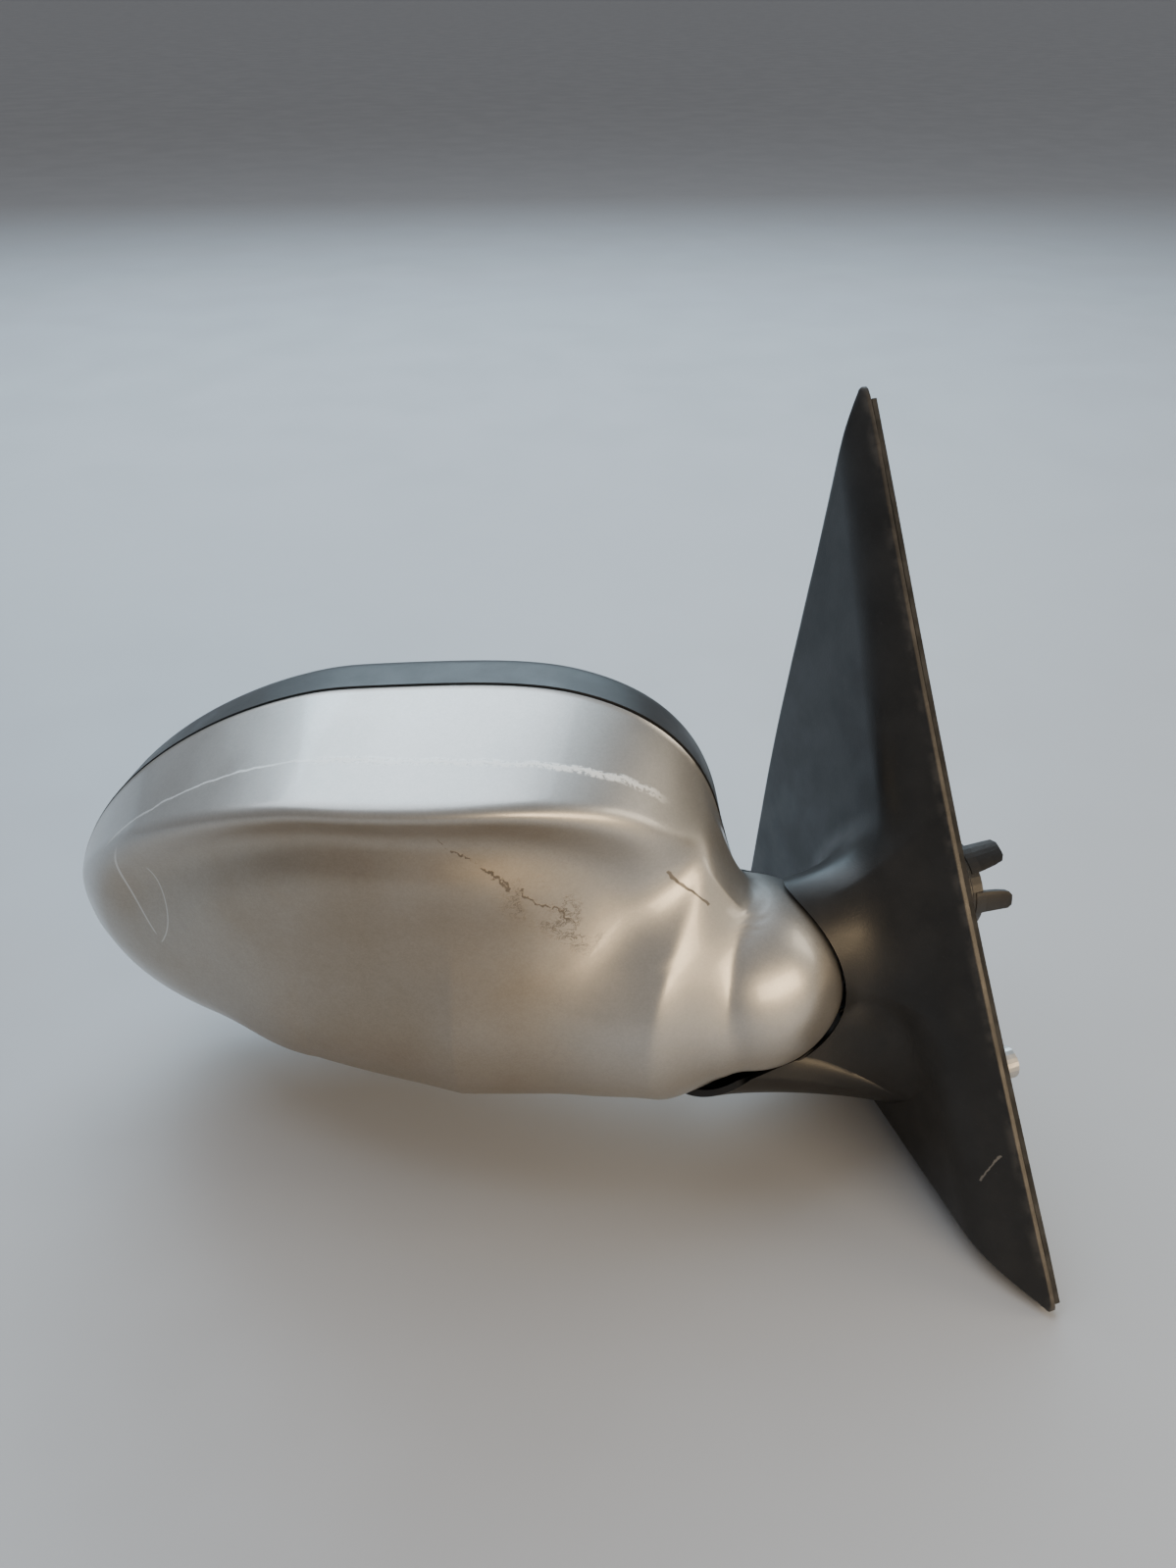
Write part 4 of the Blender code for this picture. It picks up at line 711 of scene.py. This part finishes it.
# ---------------------------------------------------------------- finishes
def silver_paint_finish():
    """Metallic paint under clear lacquer: fine flakes, a painted warm reflection that darkens the front face below
    the brow, a long pale scratch over the brow, and dark scuffs.
    """
    look = settings("finish")
    base = np.array(look.paint)
    made = Finish("silver_paint_finish", base, 0.34, 0.82, Coat_Weight=0.55, Coat_Roughness=0.06)
    flake = made.cells(2100, output="Color")
    sparkle = made.node("ShaderNodeSeparateColor")
    made.feed(sparkle.inputs[0], flake)
    glint = sparkle.outputs[0]
    mottle = made.noise(420, 4, 0.7)
    shade = made.maths("ADD", made.maths("MULTIPLY", glint, 0.26 * look.paint_flake),
                       made.maths("MULTIPLY", mottle, 0.42 * look.paint_flake))
    tone = made.blend(shade, base * 0.84, np.minimum(base * 1.22, 1))
    brow, along, rise = made.number("brow"), made.number("along"), made.number("rise")
    bearing = made.number("bearing")
    # Painted reflection: the front face below the brow, away from the neck, is made darker and warmer in blotches to
    # stand in for the warm light it reflects.
    painted_face_reflection = made.maths("MULTIPLY", made.remap(brow, 2 * MM, -7 * MM), made.remap(along, -28 * MM, -70 * MM))
    painted_face_reflection = made.maths("MULTIPLY", painted_face_reflection, made.remap(made.noise(14, 4, 0.55), 0.3, 0.7, 0.55, 0.85))
    tone = made.blend(painted_face_reflection, tone, made.blend(shade, base * (0.50, 0.41, 0.30), base * (0.80, 0.66, 0.49)))
    dust = made.remap(made.noise(26, 5, 0.6), 0.42, 0.78, 0, 0.14)
    tone = made.blend(dust, tone, (0.40, 0.37, 0.32))
    wander = made.maths("MULTIPLY", made.maths("SUBTRACT", made.noise(120, 3), 0.5), 3.0 * MM)
    gaps = made.remap(made.noise(700, 3, 0.7), 0.42, 0.52)
    right = made.remap(bearing, 104, 92)
    pale = made.stroke(bearing, brow, (84, 20 * MM), 78, 0.5 * MM, 18 * MM, wander)
    pale = made.maths("MULTIPLY", pale, made.maths("ADD", 0.5, made.maths("MULTIPLY", right, 0.4)))
    ragged = made.stroke(bearing, brow, (84, 20 * MM), 76, 1.7 * MM, 18 * MM, wander, gaps)
    pale = made.maths("MAXIMUM", pale, made.maths("MULTIPLY", ragged, made.maths("MULTIPLY", right, 0.9)))
    pale = made.maths("MULTIPLY", pale, made.remap(bearing, 30, 36))
    faint = made.stroke(rise, along, (36 * MM, -193 * MM), 22 * MM, 0.5 * MM, -9 * MM)
    second = made.stroke(rise, along, (26 * MM, -178 * MM), 14 * MM, 0.3 * MM, 5 * MM)
    faint = made.maths("MULTIPLY", made.maths("MAXIMUM", faint, second), 0.38)
    front = made.remap(brow, 1 * MM, -3 * MM)
    faint = made.maths("MULTIPLY", faint, front)
    tone = made.blend(made.maths("MAXIMUM", pale, faint), tone, (0.90, 0.90, 0.88))
    down = made.maths("SUBTRACT", made.maths("MULTIPLY", along, 0.78), made.maths("MULTIPLY", rise, 0.62))
    over = made.maths("ADD", made.maths("MULTIPLY", along, 0.62), made.maths("MULTIPLY", rise, 0.78))
    crack = made.noise(260, 5, 0.75, made.stretched((1, 1, 1.6)), 0.8)
    line = made.remap(made.maths("ABSOLUTE", made.maths("SUBTRACT", crack, 0.5)), 0.024, 0.007)
    patch = made.maths("MULTIPLY",
                       made.remap(made.maths("ABSOLUTE", made.maths("ADD", down, 72 * MM)), 20 * MM, 9 * MM),
                       made.remap(made.maths("ABSOLUTE", made.maths("ADD", over, 2 * MM)), 9 * MM, 3 * MM))
    broken = made.remap(made.noise(110, 2), 0.44, 0.58)
    scuff = made.maths("MULTIPLY", made.maths("MULTIPLY", made.maths("MULTIPLY", line, patch), broken), front)
    dark_wander = made.maths("MULTIPLY", made.maths("SUBTRACT", made.noise(150, 4), 0.5), 9 * MM)
    dark = made.stroke(down, over, (-88 * MM, -1 * MM), 25 * MM, 0.34 * MM, 0, dark_wander)
    skips = made.remap(made.noise(400, 2), 0.38, 0.5)
    dark = made.maths("MULTIPLY", made.maths("MULTIPLY", dark, front), skips)
    chip = made.stroke(bearing, brow, (18, -3.0 * MM), 4.5, 0.45 * MM, 0, wander)
    scuff = made.maths("MAXIMUM", made.maths("MAXIMUM", scuff, dark), chip)
    tone = made.blend(made.maths("MULTIPLY", scuff, 0.72), tone, (0.10, 0.085, 0.07))
    made.colour(tone)
    wear = made.maths("MULTIPLY", made.maths("MAXIMUM", pale, scuff), 0.35)
    made.roughness(made.maths("ADD", made.remap(made.noise(35, 4), 0.3, 0.7, 0.34, 0.42), wear))
    under = made.bump(glint, 0.012 * MM, 0.35 * look.paint_flake)
    made.bump(made.maths("MAXIMUM", pale, scuff), 0.06 * MM, 0.6, under)
    peel = made.node("ShaderNodeBump", invert=False)
    peel.inputs["Distance"].default_value = 0.02 * MM
    peel.inputs["Strength"].default_value = 0.25
    made.feed(peel.inputs["Height"], made.noise(260, 2))
    made.feed(made.shader.inputs["Coat Normal"], peel.outputs[0])
    return made.material


def moulded_finish(name, lift=1.0, roughness=0.44, grain_scale=1700, worn=False):
    """Black moulded plastic: close grain, handled patches, and paler worn edges on the shell that has them."""
    look = settings("finish")
    base = np.array(look.plastic) * lift
    made = Finish(name, base, roughness, Specular_IOR_Level=0.5)
    tone = made.blend(made.remap(made.noise(45, 5, 0.65), 0.3, 0.75), base * 0.8, base * 1.6)
    dust = made.remap(made.noise(900, 3, 0.8), 0.62, 0.72, 0, 0.22)
    tone = made.blend(dust, tone, base * 3.5 + 0.01)
    if worn:
        edge = made.number("any_edge")
        patches = made.remap(made.noise(150, 4), 0.4, 0.7)
        rub = made.maths("MULTIPLY", made.remap(edge, 2.6 * MM, 0.2 * MM), patches)
        tone = made.blend(made.maths("MULTIPLY", rub, 0.5), tone, (0.09, 0.083, 0.075))
        nick = made.remap(made.cells(34, vector=made.stretched((1, 1.0, 0.35))), 0.035, 0.018)
        split = made.node("ShaderNodeSeparateXYZ")
        made.feed(split.inputs[0], made.place)
        wander = made.maths("MULTIPLY", made.maths("SUBTRACT", made.noise(300, 3), 0.5), 2 * MM)
        across, up = split.outputs[1:]
        mark = made.stroke(up, across, (-28 * MM, -74 * MM), 5 * MM, 0.3 * MM, 0, wander)
        nick = made.maths("MAXIMUM", made.maths("MULTIPLY", nick, 0.35), made.maths("MULTIPLY", mark, 0.45))
        tone = made.blend(nick, tone, (0.32, 0.30, 0.27))
    made.colour(tone)
    made.roughness(made.remap(made.noise(60, 4, 0.6), 0.25, 0.75, roughness - 0.06, roughness + 0.08))
    coarse = made.maths("MULTIPLY", made.noise(grain_scale * 0.6, 2), 0.6)
    grain = made.maths("ADD", made.cells(grain_scale), coarse)
    made.bump(grain, look.grain, 0.35)
    return made.material


def metal_finish(name, colour, roughness, kind):
    """Bare metal: cast skin, drawn lines or plating, by kind."""
    base = np.array(colour)
    made = Finish(name, base, roughness, 1.0)
    if kind == "cast":
        height = made.maths("ADD", made.noise(900, 4, 0.7), made.maths("MULTIPLY", made.cells(420), 0.5))
        tone = made.blend(made.remap(made.noise(80, 4), 0.35, 0.7), base * 0.78, base * 1.05)
        depth, strength = 0.06 * MM, 0.5
    elif kind == "drawn":
        height = made.noise(900, 3, 0.6, made.stretched((1, 1, 0.04)))
        tone = made.blend(made.noise(70, 4), base * 0.8, np.minimum(base * 1.15, 1))
        depth, strength = 0.01 * MM, 0.4
    else:
        height = made.noise(1300, 3, 0.6)
        yellow = base * np.array([1.0, 0.93, 0.74])
        tone = made.blend(made.remap(made.noise(150, 4), 0.35, 0.65), base, yellow)
        depth, strength = 0.015 * MM, 0.35
    made.colour(tone)
    made.roughness(made.remap(made.noise(200, 3), 0.3, 0.7, roughness - 0.08, roughness + 0.1))
    made.bump(height, depth, strength)
    return made.material


def plain_moulding_finish(name, colour, roughness, flow=0.15):
    """Unpainted moulded plastic: faint flow marks and a fine eroded skin."""
    base = np.array(colour)
    made = Finish(name, base, roughness)
    streaks = made.noise(55, 4, 0.6, made.stretched((1, 0.4, 1)))
    made.colour(made.blend(streaks, base * (1 - flow), base * (1 + flow)))
    made.roughness(made.remap(made.noise(160, 3), 0.3, 0.7, roughness - 0.07, roughness + 0.07))
    made.bump(made.noise(1500, 3, 0.6), 0.02 * MM, 0.35)
    return made.material


def rubber_finish():
    """Soft black rubber: bloom in patches and a dull fine skin."""
    base = np.array((0.016, 0.016, 0.016))
    made = Finish("rubber_finish", base, 0.75, Specular_IOR_Level=0.35)
    made.colour(made.blend(made.remap(made.noise(120, 4), 0.4, 0.7), base, base * 2.4))
    made.roughness(made.remap(made.noise(300, 3), 0.3, 0.7, 0.68, 0.86))
    made.bump(made.noise(1100, 3, 0.7), 0.04 * MM, 0.4)
    return made.material


def mirror_finish():
    """Silvered glass: bright metal with faint dust and wiping smears."""
    made = Finish("mirror_silver_finish", (0.86, 0.88, 0.89), 0.02, 1.0, Coat_Weight=0.4, Coat_Roughness=0.02)
    smear = made.remap(made.noise(30, 5, 0.6, made.stretched((1, 1, 0.3)), 0.4), 0.5, 0.75)
    speck = made.remap(made.cells(260), 0.10, 0.04)
    made.colour(made.blend(made.maths("MULTIPLY", speck, 0.25), (0.86, 0.88, 0.89), (0.55, 0.53, 0.50)))
    made.roughness(made.maths("ADD", 0.015, made.maths("ADD", made.maths("MULTIPLY", smear, 0.05),
                                                         made.maths("MULTIPLY", speck, 0.2))))
    made.bump(made.noise(14, 2), 0.02 * MM, 0.05)
    return made.material


def heater_finish():
    """Copper-coloured film with its printed track as close parallel lines."""
    made = Finish("heater_film_finish", (0.30, 0.17, 0.08), 0.42, 0.35)
    wave = made.node("ShaderNodeTexWave", wave_type="BANDS", bands_direction="Z")
    made.feed(wave.inputs["Vector"], made.place)
    wave.inputs["Scale"].default_value = 60
    wave.inputs["Distortion"].default_value = 0.6
    track = made.remap(wave.outputs["Fac"], 0.55, 0.65)
    made.colour(made.blend(track, (0.20, 0.11, 0.05), (0.50, 0.29, 0.14)))
    made.bump(track, 0.04 * MM, 0.5)
    return made.material


# ---------------------------------------------------------------- placing finishes
def dress(piece, material, body=None):
    piece.data.materials.clear()
    piece.data.materials.append(material)
    if body:
        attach(piece, body)
    return piece


def dress_nodes(names, material):
    for name in names:
        NODES[name].data.materials.clear()
        NODES[name].data.materials.append(material)


class MIRROR_OT_painted_cap(bpy.types.Operator):
    """Draws the painted cap and gives it metallic paint"""

    bl_idname = "mirror.painted_cap"
    bl_label = "Painted cap"

    def execute(self, context):
        piece = dress(shape_painted_cap(), silver_paint_finish(), HEAD_BODY)
        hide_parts("painted_cap")
        return {"FINISHED"}


class MIRROR_OT_housing_frame(bpy.types.Operator):
    """Draws the black frame behind the cap"""

    bl_idname = "mirror.housing_frame"
    bl_label = "Housing frame"

    def execute(self, context):
        finish = moulded_finish("frame_grained_finish", 0.85, 0.42)
        piece = dress(shape_housing_frame(), finish, HEAD_BODY)
        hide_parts("housing_frame")
        return {"FINISHED"}


class MIRROR_OT_glass(bpy.types.Operator):
    """Draws the mirror glass, and finishes the heater film behind it"""

    bl_idname = "mirror.glass"
    bl_label = "Glass"

    def execute(self, context):
        piece = dress(shape_mirror_glass(), mirror_finish(), GLASS_BODY)
        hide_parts("mirror_glass")
        dress_nodes(["heater_film"], heater_finish())
        return {"FINISHED"}


class MIRROR_OT_base_cover(bpy.types.Operator):
    """Draws the triangular door cover with its arm"""

    bl_idname = "mirror.base_cover"
    bl_label = "Base cover"

    def execute(self, context):
        finish = moulded_finish("base_grained_finish", 1.0, 0.40, worn=True)
        piece = dress(shape_base_cover(), finish, BASE_BODY)
        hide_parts("base_cover")
        return {"FINISHED"}


class MIRROR_OT_plug(bpy.types.Operator):
    """Finishes the cable plug, its lock ring and the rubber pieces"""

    bl_idname = "mirror.plug"
    bl_label = "Plug and rubber"

    def execute(self, context):
        satin = moulded_finish("black_satin_finish", 1.1, 0.36, 2300)
        dress_nodes(["plug_body", "plug_lock_ring", "glass_backing"], satin)
        dress_nodes(["door_gasket", "plug_seal", "base_lead", "head_lead"], rubber_finish())
        return {"FINISHED"}


class MIRROR_OT_mechanism(bpy.types.Operator):
    """Finishes the bracket, the pivot, the adjuster and the screws"""

    bl_idname = "mirror.mechanism"
    bl_label = "Mechanism"

    def execute(self, context):
        dress_nodes(["base_bracket"], metal_finish("cast_alloy_finish", (0.60, 0.59, 0.57), 0.46, "cast"))
        steel = metal_finish("steel_finish", (0.52, 0.52, 0.53), 0.32, "drawn")
        dress_nodes(["pivot_tube", "detent_ring", "pivot_washer", "pivot_spring", "retaining_clip",
                     "pan_motor", "tilt_motor"], steel)
        zinc = metal_finish("zinc_finish", (0.68, 0.67, 0.62), 0.34, "plated")
        dress_nodes([name for name in NODES if "_screw_" in name], zinc)
        brass = metal_finish("brass_finish", (0.72, 0.53, 0.23), 0.33, "drawn")
        dress_nodes(["pan_worm", "tilt_worm"], brass)
        grey = plain_moulding_finish("grey_moulding_finish", (0.15, 0.155, 0.16), 0.5)
        dress_nodes(["head_carrier", "adjuster_base", "adjuster_cover", "contact_block"], grey)
        white = plain_moulding_finish("white_moulding_finish", (0.74, 0.73, 0.68), 0.42, 0.05)
        dress_nodes(["gimbal_cross", "pan_plunger", "tilt_plunger", "pan_wheel", "tilt_wheel"], white)
        return {"FINISHED"}


# ---------------------------------------------------------------- floor, lights and camera
def area_light(name, place, target, size, power, colour, height):
    """A soft rectangle of light that faces its target."""
    lamp = bpy.data.lights.new(name, "AREA")
    lamp.shape, lamp.size, lamp.size_y = "RECTANGLE", size, height
    lamp.energy, lamp.color = power, colour
    made = bpy.data.objects.new(name, lamp)
    made.location = place
    made.rotation_euler = (Vector(target) - Vector(place)).to_track_quat("-Z", "Y").to_euler()
    bpy.context.scene.collection.objects.link(made)
    return made


def floor_finish():
    made = Finish("floor_finish", tuple(settings("stage").floor_colour), 0.5)
    base = np.array(settings("stage").floor_colour)
    made.colour(made.blend(made.noise(9, 4, 0.6), base * 0.97, np.minimum(base * 1.03, 1)))
    made.roughness(made.remap(made.noise(14, 3), 0.3, 0.7, 0.45, 0.58))
    made.bump(made.noise(500, 3), 0.05 * MM, 0.2)
    return made.material


class MIRROR_OT_stage(bpy.types.Operator):
    """Lays the floor and sets the lights and the camera"""

    bl_idname = "mirror.stage"
    bl_label = "Stage"

    def execute(self, context):
        stage = settings("stage")
        level = stage.floor_level
        turn = np.linspace(0, 2 * math.pi, 96, endpoint=False)
        disc = np.stack([20 * np.cos(turn), 20 * np.sin(turn), np.full(96, level)], -1)
        floor = mesh_piece("floor", disc, np.zeros((0, 4), int), [np.arange(96)])
        floor.data.materials.append(floor_finish())
        centre = (-0.12, 0.0, 0.03)
        area_light("overhead_light", (-0.30, 0.75, 1.35), centre, 1.8, 19, (0.80, 0.90, 1.0), height=1.1)
        area_light("front_light", (0.20, -1.10, 0.42), centre, 1.1, 12, (1.0, 0.74, 0.44), height=0.4)
        area_light("side_light", (1.05, -0.3, 0.55), centre, 0.4, 4.5, (1.0, 0.86, 0.66), height=0.8)
        area_light("back_light", (0.2, 1.2, 0.9), centre, 1.7, 21, (0.62, 0.84, 1.0), height=0.8)
        world = bpy.data.worlds.new("studio_air")
        world.use_nodes = True
        air = world.node_tree.nodes["Background"]
        air.inputs["Color"].default_value = (0.86, 0.87, 0.90, 1)
        air.inputs["Strength"].default_value = 0.30
        context.scene.world = world
        flat = math.cos(CAMERA_PITCH)
        back = Vector((math.sin(CAMERA_HEADING) * flat, -math.cos(CAMERA_HEADING) * flat, math.sin(CAMERA_PITCH)))
        right = (-back).cross(Vector((0, 0, 1))).normalized()
        up = right.cross(-back)
        lens = bpy.data.cameras.new("camera")
        lens.sensor_width, lens.sensor_fit, lens.lens = 36, "AUTO", stage.lens
        lens.clip_start = 0.01
        camera = bpy.data.objects.new("camera", lens)
        turned = Matrix((right, up, back)).transposed().to_4x4()
        camera.matrix_world = Matrix.Translation(CAMERA_PLACE) @ turned
        context.scene.collection.objects.link(camera)
        context.scene.camera = camera
        return {"FINISHED"}


class MIRROR_PT_panel(bpy.types.Panel):
    """Lists the pieces and their settings"""

    bl_label = "Door mirror"
    bl_space_type = "VIEW_3D"
    bl_region_type = "UI"
    bl_category = "Mirror"

    def draw(self, context):
        for group in GROUPS:
            box = self.layout.box()
            values = getattr(context.scene, "mirror_" + group)
            for key in values.__annotations__:
                box.prop(values, key)
        for operator in OPERATORS:
            self.layout.operator(operator.bl_idname)


GROUPS = {"finish": MirrorFinishSettings, "shape": MirrorShapeSettings, "stage": MirrorStageSettings}
OPERATORS = [MIRROR_OT_stage, MIRROR_OT_painted_cap, MIRROR_OT_housing_frame, MIRROR_OT_glass,
             MIRROR_OT_base_cover, MIRROR_OT_plug, MIRROR_OT_mechanism]


def register():
    for kind in (*GROUPS.values(), *OPERATORS, MIRROR_PT_panel):
        bpy.utils.register_class(kind)
    for name, kind in GROUPS.items():
        setattr(bpy.types.Scene, "mirror_" + name, bpy.props.PointerProperty(type=kind))


def unregister():
    for name in GROUPS:
        delattr(bpy.types.Scene, "mirror_" + name)
    for kind in (MIRROR_PT_panel, *reversed(OPERATORS), *reversed(GROUPS.values())):
        bpy.utils.unregister_class(kind)


def main():
    register()
    for operator in OPERATORS:
        group, name = operator.bl_idname.split(".")
        getattr(getattr(bpy.ops, group), name)()


if __name__ == "__main__":
    main()
